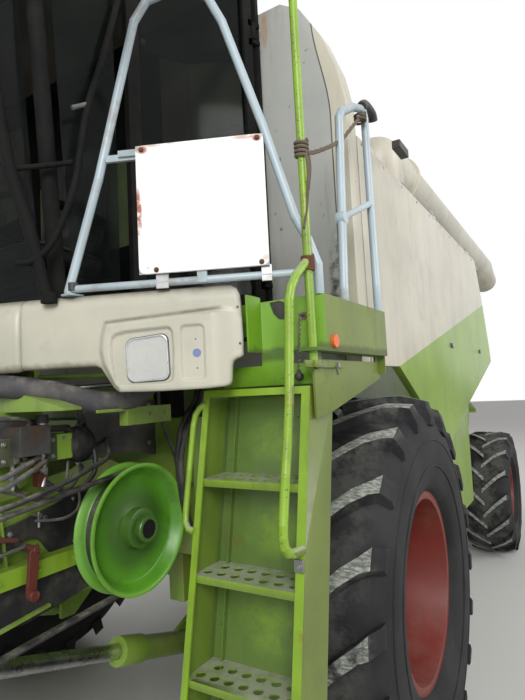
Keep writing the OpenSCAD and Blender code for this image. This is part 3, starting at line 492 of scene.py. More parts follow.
METALS = {
    "dark_steel": ((0.12, 0.12, 0.115), 0.55, 0.5, 0.4, 0.6),
    "bare_steel": ((0.45, 0.45, 0.44), 0.4, 0.2, 0.15),
    "rust_steel": ((0.16, 0.07, 0.035), 0.75, 0.2, 0.8, 0.3),
    "rod_steel": ((0.62, 0.62, 0.62), 0.28, 0.1, 0.05),
    "lamp_rim": ((0.72, 0.75, 0.78), 0.3, 0.15, 0.05, 0.6),
    "chrome": ((0.80, 0.82, 0.85), 0.2, 0.0, 0.0),
    "chain_steel": ((0.25, 0.22, 0.18), 0.5, 0.3, 0.5, 0.7),
}
PLASTICS = {
    "belt_rubber": ((0.02, 0.02, 0.022), 0.55, 0.5),
    "dark_plastic": ((0.022, 0.022, 0.024), 0.5, 0.3),
    "grey_plastic": ((0.10, 0.105, 0.11), 0.55, 0.45),
    "amber": ((0.75, 0.13, 0.01), 0.25, 0.1),
    "lens_red": ((0.45, 0.01, 0.01), 0.25, 0.1),
    "disc_blue": ((0.16, 0.22, 0.42), 0.45, 0.1),
    "cab_liner": ((0.008, 0.008, 0.008), 0.75, 0.06, 220, 0.12),
    "head_liner": ((0.20, 0.195, 0.16), 0.9, 0.1),
    "pale_green": ((0.17, 0.22, 0.10), 0.6, 0.2),
    "dark_panel": ((0.022, 0.023, 0.024), 0.6, 0.45, 220, 0.25),
    "post_beige": ((0.20, 0.19, 0.13), 0.5, 0.3),
    "rope_fibre": ((0.16, 0.12, 0.09), 0.95, 0.3, 500),
    "hose_grey": ((0.075, 0.072, 0.078), 0.7, 0.8, 120),
}
PANES = {
    "tinted_glass": ((0.003, 0.005, 0.004), 0.52),
    "lens_clear": ((0.75, 0.80, 0.88), 0.30, 0.03),
}
M = {"seat_fabric": cloth("seat_fabric", (0.035, 0.036, 0.042)), "lug_top": lug_face("lug_top")}
for make, table in ((paint, PAINTS), (metal, METALS), (plastic, PLASTICS), (glass, PANES)):
    for name, values in table.items():
        M[name] = make(name, *values)
for make in (fairing_paint, ladder_paint, platform_paint, pulley_paint, sign_paint, wall_paint):
    M[make.__name__] = make(make.__name__)


# Mesh pieces
def obj(name, bm, body, mat, sharp=35, bevel=0.0, seg=2):
    me = bpy.data.meshes.new(name)
    bm.normal_update()
    bm.to_mesh(me)
    bm.free()
    me.polygons.foreach_set("use_smooth", [True] * len(me.polygons))
    me.set_sharp_from_angle(angle=math.radians(sharp))
    o = bpy.data.objects.new(name, me)
    bpy.context.scene.collection.objects.link(o)
    for k in mat if isinstance(mat, (list, tuple)) else [mat]:
        me.materials.append(M[k] if isinstance(k, str) else k)
    if bevel:
        soften(o, bevel, seg)
    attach(o, body)
    return o


def soften(o, width, seg=2, angle=38):
    b = o.modifiers.new("bevel", "BEVEL")
    b.width, b.segments, b.limit_method, b.angle_limit = width, seg, "ANGLE", math.radians(angle)
    b.harden_normals = False
    b.use_clamp_overlap = True


def add_box(bm, lo, hi, m=None, index=0):
    """lo and hi in machine millimetres, m an extra matrix in metres."""
    a, b = p(*lo), p(*hi)
    v = bmesh.ops.create_cube(bm, size=1)["verts"]
    for q in v:
        q.co = Vector((a[i] + (b[i] - a[i]) * (q.co[i] + 0.5) for i in range(3)))
    if m:
        bmesh.ops.transform(bm, matrix=m, verts=v)
    for f in {f for q in v for f in q.link_faces}:
        f.material_index = index
    return v


def side_box(bm, sx, lo, hi, m=None, index=0):
    """add_box on the left side for sx 1, and its mirror image on the right for -1."""
    xs = sorted((sx * lo[0], sx * hi[0]))
    add_box(bm, (xs[0], *lo[1:]), (xs[1], *hi[1:]), m, index)


def add_rod(bm, a, b, r, n=16, index=0, cap=True, r2=None):
    """A round bar between two points in machine millimetres."""
    a, b = p(*a), p(*b)
    d = b - a
    m = Matrix.Translation((a + b) / 2) @ d.to_track_quat("Z", "Y").to_matrix().to_4x4()
    g = bmesh.ops.create_cone(bm, cap_ends=cap, segments=n, radius1=r / 1000,
                              radius2=(r if r2 is None else r2) / 1000, depth=d.length, matrix=m)
    for f in {f for q in g["verts"] for f in q.link_faces}:
        f.material_index = index
    return g["verts"]


def add_ball(bm, c, r, n=12, index=0, scale=(1, 1, 1)):
    m = Matrix.Translation(p(*c)) @ Matrix.Diagonal((*scale, 1))
    g = bmesh.ops.create_uvsphere(bm, u_segments=n, v_segments=max(6, n // 2), radius=r / 1000, matrix=m)
    for f in {f for q in g["verts"] for f in q.link_faces}:
        f.material_index = index


def smooth_path(pts, k=6):
    """Catmull-Rom points through pts, in metres."""
    pts = [p(*q) for q in pts]
    out = []
    for i in range(len(pts) - 1):
        a, b, c, d = pts[max(i - 1, 0)], pts[i], pts[i + 1], pts[min(i + 2, len(pts) - 1)]
        for j in range(k):
            t = j / k
            out.append(0.5 * ((2 * b) + (c - a) * t + (2 * a - 5 * b + 4 * c - d) * t * t
                              + (3 * b - 3 * c + d - a) * t ** 3))
    return out + [pts[-1]]


def circle(n, r=1.0):
    """n points of a circle about the origin."""
    return [(r * math.cos(2 * math.pi * k / n), r * math.sin(2 * math.pi * k / n)) for k in range(n)]


def outward(bm, faces=None):
    """Turns faces so that they look out of their solid."""
    bmesh.ops.recalc_face_normals(bm, faces=faces or bm.faces)


def quads(bm, a, b, index=0, flip=False):
    """Faces between two rings with the same number of points."""
    made = []
    for k in range(len(a)):
        j = (k + 1) % len(a)
        made.append(bm.faces.new((a[k], b[k], b[j], a[j]) if flip else (a[k], a[j], b[j], b[k])))
        made[-1].material_index = index
    return made


def loft(bm, loops, index=0, cap=(True, True)):
    """Loops of points in metres, each with the same number of points, joined ring by ring."""
    rings = [[bm.verts.new(q) for q in loop] for loop in loops]
    made = []
    for a, b in zip(rings, rings[1:]):
        made += quads(bm, a, b, index)
    made += [bm.faces.new(r) for r, wanted in ((rings[0][::-1], cap[0]), (rings[-1], cap[1])) if wanted]
    for f in made:
        f.material_index = index
    return made


def sweep(bm, path, r, n=10, index=0, ribs=0.0):
    """A round tube along points in metres; ribs makes every other ring thicker."""
    rings = []
    side = None
    for i, c in enumerate(path):
        t = (path[min(i + 1, len(path) - 1)] - path[max(i - 1, 0)]).normalized()
        if side is None:
            side = t.orthogonal().normalized()
        side = (side - t * side.dot(t)).normalized()
        up_ = t.cross(side)
        rr = (r + (ribs if i % 2 else 0)) / 1000
        rings.append([c + (side * x + up_ * y) * rr for x, y in circle(n)])
    loft(bm, rings, index)


def rounded(x0, x1, z0, z1, r, n=5):
    """A rectangle with round corners."""
    pts = []
    for cx, cz, a0 in ((x1 - r, z0 + r, -90), (x1 - r, z1 - r, 0), (x0 + r, z1 - r, 90),
                       (x0 + r, z0 + r, 180)):
        for k in range(n):
            a = math.radians(a0 + 90 * k / (n - 1))
            pts.append((cx + r * math.cos(a), cz + r * math.sin(a)))
    return pts


def coil(at, r, n, turn, drop):
    """n points about an upright line, in metres, each turned by turn and lower by drop than the last."""
    x, y, z = at
    return [p(x + r * math.cos(i * turn), y + r * math.sin(i * turn), z - i * drop) for i in range(n)]


def hose(name, pts, r, body, mat="belt_rubber", ends=None, k=6, n=10):
    bm = bmesh.new()
    path = smooth_path(pts, k)
    sweep(bm, path, r, n)
    mats = [mat]
    if ends:
        mats.append(ends)
        for a, b in ((0, 1), (-1, -2)):
            d = (path[b] - path[a]).normalized()
            add_rod(bm, mm(path[a]), mm(path[a]) + d * r * 4.5, r * 1.25, 12, 1)
    return obj(name, bm, body, mats)


def prism(bm, a, b, index=0):
    """Two outlines of points in machine millimetres, closed to a solid."""
    outward(bm, loft(bm, [[p(*q) for q in a], [p(*q) for q in b]], index))


def add_plate(bm, outline, x0, x1, index=0):
    """A side view [(y, z)..] in machine millimetres given a thickness across the machine."""
    prism(bm, [(x0, y, z) for y, z in outline], [(x1, y, z) for y, z in outline], index)


def add_front(bm, outline, y0, y1, index=0):
    """A front view [(x, z)..] in machine millimetres given a thickness along the machine."""
    prism(bm, [(x, y0, z) for x, z in outline], [(x, y1, z) for x, z in outline], index)


def bolt(bm, at, axis, r=9, h=7, index=0):
    """A hexagon head with its washer at a point in machine millimetres."""
    at, axis = Vector(at), Vector(axis).normalized()
    add_rod(bm, at, at + axis * 1.6, r * 1.35, 16, index)
    add_rod(bm, at + axis * 1.6, at + axis * (1.6 + h), r, 6, index)


def lathe(bm, profile, centre, n=64, index=0):
    """profile [(radius, x)..] in millimetres turned about the X axis through centre."""
    cx, cy, cz = centre
    rings = [[bm.verts.new(p(cx + x, cy + y, cz + z)) for y, z in circle(n, r)] for r, x in profile]
    for a, b in zip(rings, rings[1:] + rings[:1]):
        quads(bm, a, b, index, True)


# CAD nodes: slots, softened edges
SPECIAL = {"side_panel_left": "panel_paint", "side_panel_right": "panel_paint",
           "feeder_pulley": "pulley_paint", "ladder": "ladder_paint", "front_wall": "wall_paint",
           "cab_floor": "cab_liner", "cab_frame": "cab_liner", "cab_door": "cab_liner",
           "platform": "platform_paint"}
record_slot = {s["node"]: s["material_slot"] for s in frame["record"]["subparts"]}
for name, o in nodes.items():
    key = SPECIAL.get(name, record_slot[name])
    if key == "tyre_rubber":
        key = "belt_rubber"
    if key == "lamp_glass":
        key = "tinted_glass"
    o.data.materials.clear()
    o.data.materials.append(M[key])
    w = o.modifiers.new("weld", "WELD")
    w.merge_threshold = 0.00002
    o.data.polygons.foreach_set("use_smooth", [True] * len(o.data.polygons))
    if name not in ("windscreen", "side_glass", "door_glass"):
        soften(o, 0.004 if name not in ("ladder", "front_rail", "side_rail", "spreader_flap") else 0.0015, 2)
    s = o.modifiers.new("flat", "EDGE_SPLIT")
    s.split_angle = math.radians(32)


# Tyres: carcass with an open tread, lugs in a V on both halves
def tyre(name, node, body, side, x_out, w, r, rim_r, axle_y, lugs, lug_h, phase):
    """x_out is the outer face, w the width, r and rim_r radii, phase the first lug's angle."""
    cx, cz = side * (x_out - w / 2), r
    s, t = rim_r - 28, r - lug_h - (rim_r - 28)
    h = w / 2
    prof = [(s, -h + 64), (s + 14, -h + 60), (s + 30, -h + 56), (s + 44, -h + 32), (s + 0.18 * t, -h + 17),
            (s + 0.3 * t, -h + 8), (s + 0.42 * t, -h + 2), (s + 0.55 * t, -h), (s + 0.7 * t, -h + 6),
            (s + 0.82 * t, -h + 22), (s + 0.92 * t, -h + 46), (s + 0.975 * t, -h + 86), (s + t, -h + 150),
            (s + t + 5, -h + 0.62 * h), (s + t + 8, 0)]
    prof = prof + [(a, -b) for a, b in prof[-2::-1]]
    bm = bmesh.new()
    lathe(bm, prof, (cx, axle_y, cz), 96)
    # path of a lug from the shoulder to just past the middle: (share of half width, run back in metres)
    run = ((1.0, 0.0, 0.0), (0.93, 0.012, 0.62), (0.82, 0.036, 0.93), (0.62, 0.086, 1.0), (0.40, 0.150, 1.0),
           (0.20, 0.214, 1.0), (0.02, 0.272, 1.0), (-0.05, 0.292, 0.9))
    size = r / 880
    for half in (-1, 1):
        for i in range(lugs):
            th0 = math.radians(phase + (i + (0.5 if half == -1 else 0)) * 360 / lugs)
            rows = []
            for j, (u, back, high) in enumerate(run):
                th = th0 - back * size / (r / 1000)
                wide = (0.040 if u > 0.9 else 0.030 if u > 0.3 else 0.028) * size
                flare = 0.013 * size
                base = r - lug_h - (0 if u < 0.6 else 10 if u < 0.8 else 30 if u < 0.9 else 95)
                top = r - lug_h * (1 - high) - (14 if u > 0.8 else 0) * high - (60 if u > 0.97 else 0)
                x = half * side * u * (h - 4) if u < 0.97 else half * side * (h - 3)
                rows.append([bm.verts.new(p(cx + x, axle_y - q * math.cos(th + d), cz + q * math.sin(th + d)))
                             for q, d in ((base, -(wide + flare) / (r / 1000)), (top, -wide / (r / 1000)),
                                          (top, wide / (r / 1000)), (base, (wide + flare) / (r / 1000)))])
            for j, (a, b) in enumerate(zip(rows, rows[1:])):
                quads(bm, a, b)[1].material_index = 1 if j else 0
            bm.faces.new(rows[0][::-1])
            bm.faces.new(rows[-1])
    # ribs round the sidewall
    for sgn in (-1, 1):
        for rr, xx, hh in ((s + 0.34 * t, h - 3, 4), (s + 0.62 * t, h - 1, 4)):
            lathe(bm, [(rr - 6, sgn * (xx - 4)), (rr - 3, sgn * (xx + hh - 2)), (rr + 3, sgn * (xx + hh - 2)),
                       (rr + 6, sgn * (xx - 4))], (cx, axle_y, cz), 96)
    outward(bm)
    o = obj(name, bm, body, [rubber_tread(name + "_rubber", (axle_y / 1000 + SHIFT, cz / 1000, r / 1000)),
                             "lug_top"], 40)
    soften(o, 0.004, 2, 50)
    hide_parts(node)


WHEELBASE = 3653
for side, lr in ((1, "left"), (-1, "right")):
    tyre(f"drive_tyre_{lr}", f"front_tyre_{lr}", f"front_wheel_{lr}", side, 1613, 650, 880, 430, 0, 20, 46,
         7.95)
    tyre(f"steer_tyre_{lr}", f"rear_tyre_{lr}", f"rear_wheel_{lr}", side, 1553, 460, 620, 330, WHEELBASE, 16,
         32, 5.65)
    # wheel bolts: body, X of the disc, Y and Z of the axle, bolt circle's radius, number and size
    for body, x0, y, z, pcd, n, r in ((f"front_wheel_{lr}", 1613 - 650 + 274, 0, 880, 150, 10, 14),
                                      (f"rear_wheel_{lr}", 1553 - 460 + 214, WHEELBASE, 620, 105, 8, 11)):
        bm = bmesh.new()
        for dy, dz in circle(n, pcd + 22):
            bolt(bm, (side * x0, y + dy, z + dz), (side, 0, 0), r, 14)
        # valve stem
        add_rod(bm, (side * (x0 + 2), y + pcd * 1.9, z), (side * (x0 + 46), y + pcd * 2.02, z), 5, 10)
        obj(body + "_bolts", bm, body, "bare_steel", 35, 0.001)

# Sign plate on the hoop
swept = math.radians(25)
hoop_m = Matrix.Translation(p(1088, -1283, 0)) @ Matrix.Rotation(swept, 4, "Z")
bm = bmesh.new()
corners = rounded(0, 405, 2195, 2605, 20)
outward(bm, loft(bm, [[hoop_m @ Vector((x / 1000, y, z / 1000)) for x, z in corners]
                      for y in (-0.0145, -0.0245)]))
obj("sign_plate", bm, "machine", "sign_paint", 35, 0.0015)

# Cab-front fairing: a band swept along the cab's plan, with a lamp box on each side
BAND = ((-44, 1924), (-16, 1916), (-6, 1918), (-1, 1926), (1, 1945), (3, 2020), (1, 2085), (-6, 2115),
        (-17, 2136), (-32, 2149), (-48, 2154), (-60, 2154))


def band(name, line, ends, body="machine"):
    """line [(x, y)..] seen from above, outward to its right; ends (start, finish) are rounded off."""
    pts = [Vector((x, y, 0)) for x, y in line]
    fine = [pts[0]]
    for a, b in zip(pts, pts[1:]):
        n = max(1, int((b - a).length / 60))
        fine += [a.lerp(b, k / n) for k in range(1, n + 1)]
    for k, e in enumerate(ends):
        if e:
            a, b = (fine[0], fine[1]) if k == 0 else (fine[-1], fine[-2])
            d = (b - a).normalized()
            extra = [a + d * q for q in (3, 9, 20)]
            fine = [fine[0]] + extra + fine[1:] if k == 0 else fine[:-1] + extra[::-1] + [fine[-1]]
    length = [0]
    for a, b in zip(fine, fine[1:]):
        length.append(length[-1] + (b - a).length)
    bm = bmesh.new()
    rows = []
    for i, c in enumerate(fine):
        t = (fine[min(i + 1, len(fine) - 1)] - fine[max(i - 1, 0)]).normalized()
        n = Vector((-t.y, t.x, 0))
        d0 = length[i] if ends[0] else 99
        d1 = length[-1] - length[i] if ends[1] else 99
        d = min(d0, d1)
        inset = 20 - math.sqrt(max(0, 400 - (20 - min(d, 20)) ** 2))
        row = []
        for out, z in BAND:
            fall = 0.6 if z > 2100 else -0.6 if z < 1930 else 0
            row.append(bm.verts.new(p(*(c + n * (out - inset)).xy, z - inset * fall)))
        rows.append(row)
    for a, b in zip(rows, rows[1:]):
        quads(bm, a, b, 0, True)
    bm.faces.new(rows[0])
    bm.faces.new(rows[-1][::-1])
    outward(bm)
    return obj(name, bm, body, "fairing_paint", 50)


middle = [(718, -1456), (400, -1567), (0, -1602), (-400, -1567), (-718, -1456)]
shell_a = band("fairing_middle", middle, (True, True))
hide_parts("front_apron")

swept_m = {1: Matrix.Translation(p(1080, -1289, 0)) @ Matrix.Rotation(swept, 4, "Z")}
swept_m[-1] = Matrix.Diagonal((-1, 1, 1, 1)) @ swept_m[1]


def scaled(loop, c, k):
    """An outline scaled about a point."""
    return [(c[0] + (x - c[0]) * k[0], c[1] + (z - c[1]) * k[1]) for x, z in loop]


def ramp(x, a, b):
    """0 up to a, 1 from b on, smooth between."""
    t = min(1, max(0, (x - a) / (b - a)))
    return t * t * (3 - 2 * t)


def line_at(z, pts):
    """x on a line of (x, z) points that falls in z, at a height."""
    if z >= pts[0][1]:
        return pts[0][0]
    for (x0, z0), (x1, z1) in zip(pts, pts[1:]):
        if z1 <= z <= z0:
            return x0 + (x1 - x0) * (z0 - z) / (z0 - z1)
    return pts[-1][0]


# outline of one side fairing in its swept plane: (along, height), anticlockwise from the lower left
SKIN = [(-393, 1921), (-150, 1921), (-131, 1914), (-118, 1893), (-92, 1852), (-80, 1841), (-64, 1837),
        (60, 1834), (200, 1835), (262, 1839), (275, 1843), (281, 1853), (284, 1900), (288, 1914), (297, 1921),
        (311, 1925), (318, 1932), (320, 1990), (317, 2085), (314, 2118), (304, 2140), (286, 2151),
        (250, 2153), (-100, 2151), (-380, 2148), (-391, 2142), (-396, 2128), (-398, 2030), (-397, 1940)]
FLANK = [(-122, 2046), (-131, 2010), (-136, 1966), (-128, 1925), (-109, 1886), (-84, 1846)]
RECESS = [(-70, 1858), (60, 1856), (92, 1857), (104, 1864), (108, 1876), (112, 1950), (110, 2012),
          (104, 2025), (92, 2030), (-38, 2024), (-72, 2018), (-86, 2006), (-91, 1980), (-90, 1935),
          (-82, 1880), (-78, 1864)]
POCKET = rounded(132, 207, 1862, 2030, 15)


def inside(x, z, poly):
    """Signed distance to an outline, positive inside."""
    best, odd = 1e9, False
    for (x0, z0), (x1, z1) in zip(poly, poly[1:] + poly[:1]):
        dx, dz = x1 - x0, z1 - z0
        t = max(0, min(1, ((x - x0) * dx + (z - z0) * dz) / (dx * dx + dz * dz)))
        best = min(best, math.hypot(x - x0 - t * dx, z - z0 - t * dz))
        if (z0 > z) != (z1 > z) and x < x0 + (z - z0) / (z1 - z0) * dx:
            odd = not odd
    return best if odd else -best


def skin_out(x, z):
    """How far the fairing stands out of its swept plane, in millimetres."""
    brow = 2050 + (x + 91) * 22 / 341
    flank = ramp(x, line_at(z, FLANK) - 2, line_at(z, FLANK) + 27)
    top = 1 - ramp(z, brow - 6, brow + 9)
    right = 1 - ramp(x, 226, 306)
    box = 24 * flank * top * right
    if z > brow - 8:
        box *= 1 - 0.55 * ramp(x, 120, 262)
    v = 2.0 + box - 12 * ramp(z, 2100, 2153) ** 1.5
    if -100 < x < 118 and 1848 < z < 2036:
        v -= 13 * ramp(inside(x, z, RECESS), -1.5, 8)
    if 124 < x < 214 and 1855 < z < 2036:
        v -= 9 * ramp(inside(x, z, POCKET), -1, 5)
    edge = inside(x, z, SKIN)
    r = 13 if z > 2040 or x < -380 else 9
    if edge < r:
        v -= r - math.sqrt(max(0, r * r - (r - edge) ** 2))
    return v


def side_fairing():
    """Flat triangles inside the outline, then lifted by skin_out; (along, out, height) and faces."""
    pts = []
    n = len(SKIN)
    for i in range(n):
        (x0, z0), (x1, z1) = SKIN[i], SKIN[(i + 1) % n]
        k = max(1, round(math.hypot(x1 - x0, z1 - z0) / 6))
        pts += [Vector((x0 + (x1 - x0) * j / k, z0 + (z1 - z0) * j / k)) for j in range(k)]
    rim = len(pts)
    ring = list(pts)
    # two rings just inside the edge keep its rounding even
    for inset in (1.2, 4.0, 8.0):
        for i in range(rim):
            d = (ring[(i + 1) % rim] - ring[i - 1]).normalized()
            q = ring[i] + Vector((-d.y, d.x)) * inset
            if inside(q.x, q.y, SKIN) > inset * 0.8:
                pts.append(q)
    z = 1838
    while z < 2152:
        x = -392
        while x < 316:
            near = -145 < x < 318
            if near or (round((x + 392) / 3.4) % 3 == 0 and round((z - 1838) / 3.4) % 3 == 0):
                if inside(x, z, SKIN) > 10:
                    pts.append(Vector((x, z)))
            x += 3.4
        z += 3.4
    edges = [(i, (i + 1) % rim) for i in range(rim)]
    v, _, f = delaunay_2d_cdt(pts, edges, [], 1, 0.05)[:3]
    return [(q.x, skin_out(q.x, q.y), q.y) for q in v], [list(t) for t in f]


fair_v, fair_f = side_fairing()
for sd, lr in ((1, "left"), (-1, "right")):
    m = swept_m[sd]

    def at(u, v, z, m=m):
        return m @ Vector((u / 1000, -v / 1000, z / 1000))

    bm = bmesh.new()
    vs = [bm.verts.new(at(*q)) for q in fair_v]
    for f in fair_f:
        try:
            bm.faces.new([vs[i] for i in f])
        except ValueError:
            pass
    edge = [e for e in bm.edges if len(e.link_faces) == 1]
    for depth in (14, 30):
        back = bmesh.ops.extrude_edge_only(bm, edges=edge)["geom"]
        new_v = [g for g in back if isinstance(g, bmesh.types.BMVert)]
        mid = at(40, 0, 1990)
        inward = m.to_3x3() @ Vector((0, 1, 0))
        for q in new_v:
            q.co += inward * (0.012 if depth == 14 else 0.022)
            if depth == 30:
                q.co += (mid - q.co) * 0.02
        edge = [g for g in back if isinstance(g, bmesh.types.BMEdge)]
    outward(bm)
    o = obj(f"fairing_{lr}", bm, "machine", "fairing_paint", 66)
    sol = o.modifiers.new("sheet", "SOLIDIFY")
    sol.thickness, sol.offset = 0.003, -1
    # two screws at the outer edge, and in the pocket a disc with two more
    bm = bmesh.new()
    for (u, v, z, r, h) in ((180, 16, 1944, 13, 2.5), (178, 16, 1986, 2.6, 1.5), (180, 16, 1898, 2.6, 1.5),
                            (308, 1, 2078, 4, 3), (311, 1, 1966, 4, 3)):
        add_rod(bm, mm(at(u, v, z)), mm(at(u, v + h, z)), r, 24, 0 if r > 5 else 1)
    obj(f"lamp_disc_{lr}", bm, "machine", ["disc_blue", "dark_steel"], 35, 0.0008)
    # cover in the pocket, hinged low at the left where it slopes in
    bm = bmesh.new()
    pk = rounded(136, 204, 1866, 2026, 12)
    rows = []
    for k, v in (((1.0, 1.0), 8), ((1.0, 1.0), 13), ((0.96, 0.98), 16), ((0.90, 0.955), 16.2)):
        rows.append([at(x, v - (5 if x < 158 else 0), z) for x, z in scaled(pk, (170, 1946), k)])
    loft(bm, rows)
    outward(bm)
    obj(f"lamp_pocket_{lr}", bm, "machine", "fairing_paint", 35, 0.001)
    # lamp: rubber gap, bright frame, reflector, ribbed lens; its top edge rises to the outside
    lamp_o = []
    for x, z in rounded(-42, 90, 1866, 2003, 24, 7):
        rise = 0.10 if z > 1938 else 0.03
        lamp_o.append((x + (z - 1938) * -0.03 + 2, z + (x - 25) * rise))
    c = (25, 1936)
    bm = bmesh.new()
    # each shell: its material, whether it is closed at its ends, and its rings' size and depth
    for index, cap, shell in ((2, (False, False), ((1.035, 8), (1.035, 15), (1.01, 15), (1.005, 12))),
                              (0, (True, False), ((1.0, 6), (1.0, 18), (0.985, 21), (0.955, 22),
                                                  (0.93, 19.5), (0.925, 14))),
                              (1, (False, True), ((0.93, 16), (0.86, 6), (0.7, -10), (0.45, -24),
                                                  (0.2, -30)))):
        rows = [[at(x, v, z) for x, z in scaled(lamp_o, c, (k, k))] for k, v in shell]
        loft(bm, rows, index, cap)
    add_rod(bm, mm(at(25, -28, 1936)), mm(at(25, -6, 1936)), 9, 16, 1)
    outward(bm)
    o = obj(f"lamp_frame_{lr}", bm, "machine", ["lamp_rim", "chrome", "belt_rubber"], 40)
    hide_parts("headlamps")
    bm = bmesh.new()
    inner = scaled(lamp_o, c, (0.94, 0.94))
    rim = [(x0 + (x1 - x0) * j / 6, z0 + (z1 - z0) * j / 6)
           for (x0, z0), (x1, z1) in zip(inner, inner[1:] + inner[:1]) for j in range(6)]
    rows = []
    for k in range(15):
        q = k / 14
        rib = 0.8 if 0.02 < q < 0.93 else 0
        rows.append([at(x, 18.5 + 3.2 * (1 - q * q) + rib * math.cos(x * 0.9), z)
                     for x, z in scaled(rim, c, (max(q, 0.001), max(q, 0.001)))])
    loft(bm, rows, 0, (True, False))
    outward(bm)
    obj(f"lamp_lens_{lr}", bm, "machine", "lens_clear", 80)

# Under the cab: mounting plate, cross beam, valves, hoses
bm = bmesh.new()
add_plate(bm, [(-735, 1560), (-735, 1800), (-1150, 1800), (-1160, 1640), (-1020, 1600), (-900, 1597)], 604,
          610, 0)
for y, z in ((-780, 1780), (-780, 1620), (-1120, 1780), (-1130, 1665), (-950, 1780)):
    bolt(bm, (610, y, z), (1, 0, 0), 8, 6, 1)
obj("drive_plate", bm, "machine", ["dark_steel", "bare_steel"], 35, 0.0015)
bm = bmesh.new()
add_box(bm, (-700, -1445, 1790), (700, -1375, 1848))
add_front(bm, [(700, 1790), (905, 1790), (905, 1798), (700, 1848)], -1445, -1375)
for sx in (1, -1):
    side_box(bm, sx, (588, -1440, 1800), (603, -735, 1850))
    side_box(bm, sx, (560, -1380, 1848), (680, -1360, 2042))
for x in range(-640, 680, 190):
    bolt(bm, (x, -1445, 1820), (0, -1, 0), 8, 6)
# bracket box under the fairing, with a small ear on it
add_box(bm, (866, -1185, 1724), (905, -965, 1786))
add_plate(bm, [(-1184, 1786), (-1136, 1786), (-1159, 1816)], 888, 896)
add_box(bm, (896, -1312, 1774), (903, -1185, 1784))
for y in (-1150, -1075, -1000):
    bolt(bm, (905, y, 1757), (1, 0, 0), 7, 5)
# shelf behind the valves
add_box(bm, (604, -1560, 1716), (612, -1300, 1790))
add_plate(bm, [(-1560, 1500), (-1560, 1716), (-1290, 1716), (-1262, 1640), (-1330, 1560), (-1470, 1500)], 604,
          610)
obj("cab_beam", bm, "machine", "green_paint", 35, 0.002)
bm = bmesh.new()
add_box(bm, (560, -1516, 1625), (694, -1412, 1708))
add_box(bm, (560, -1410, 1620), (700, -1312, 1704))
add_box(bm, (640, -1478, 1652), (748, -1372, 1744), index=4)
add_box(bm, (600, -1309, 1620), (694, -1246, 1706), index=3)
for y in (-1500, -1428):
    for z in (1640, 1692):
        bolt(bm, (694, y, z), (1, 0, 0), 6, 5, 2)
add_box(bm, (694, -1470, 1628), (700, -1450, 1704), index=2)
for y, z in ((-1392, 1636), (-1330, 1636), (-1330, 1690), (-1280, 1690)):
    bolt(bm, (700 if y < -1312 else 694, y, z), (1, 0, 0), 6, 5, 2)
for y in (-1455, -1345):
    add_rod(bm, (672, y, 1625), (672, y, 1600), 10, 12, 2)
    add_rod(bm, (672, y, 1600), (672, y, 1576), 14, 6, 2)
add_rod(bm, (668, -1345, 1704), (668, -1345, 1748), 17, 20, 2)
add_rod(bm, (668, -1345, 1748), (668, -1345, 1776), 21, 12, 1)
add_rod(bm, (672, -1336, 1726), (672, -1252, 1724), 12, 16, 1)
add_rod(bm, (672, -1252, 1724), (668, -1226, 1700), 14, 16, 1)
add_rod(bm, (690, -1411, 1704), (690, -1411, 1724), 12, 6, 2)
add_rod(bm, (560, -1366, 1700), (560, -1366, 1860), 16, 12, 3)
add_box(bm, (655, -1376, 1540), (684, -1338, 1584), index=5)
add_rod(bm, (640, -1357, 1584), (640, -1357, 1622), 9, 12, 2)
obj("valve_bank", bm, "machine", ["olive_block", "dark_plastic", "bare_steel", "bright_green_paint",
                                  "dark_steel", "red_rust"], 35, 0.0015)
bm = bmesh.new()
add_ball(bm, (655, -1188, 1660), 66, 32, 0, (0.8, 1, 1))
add_rod(bm, (655, -1250, 1662), (655, -1226, 1662), 46, 24, 1)
add_rod(bm, (610, -1188, 1660), (650, -1188, 1660), 30, 16, 1)
add_rod(bm, (655, -1188, 1720), (655, -1188, 1732), 12, 6, 1)
obj("accumulator", bm, "machine", ["dark_panel", "dark_steel"])

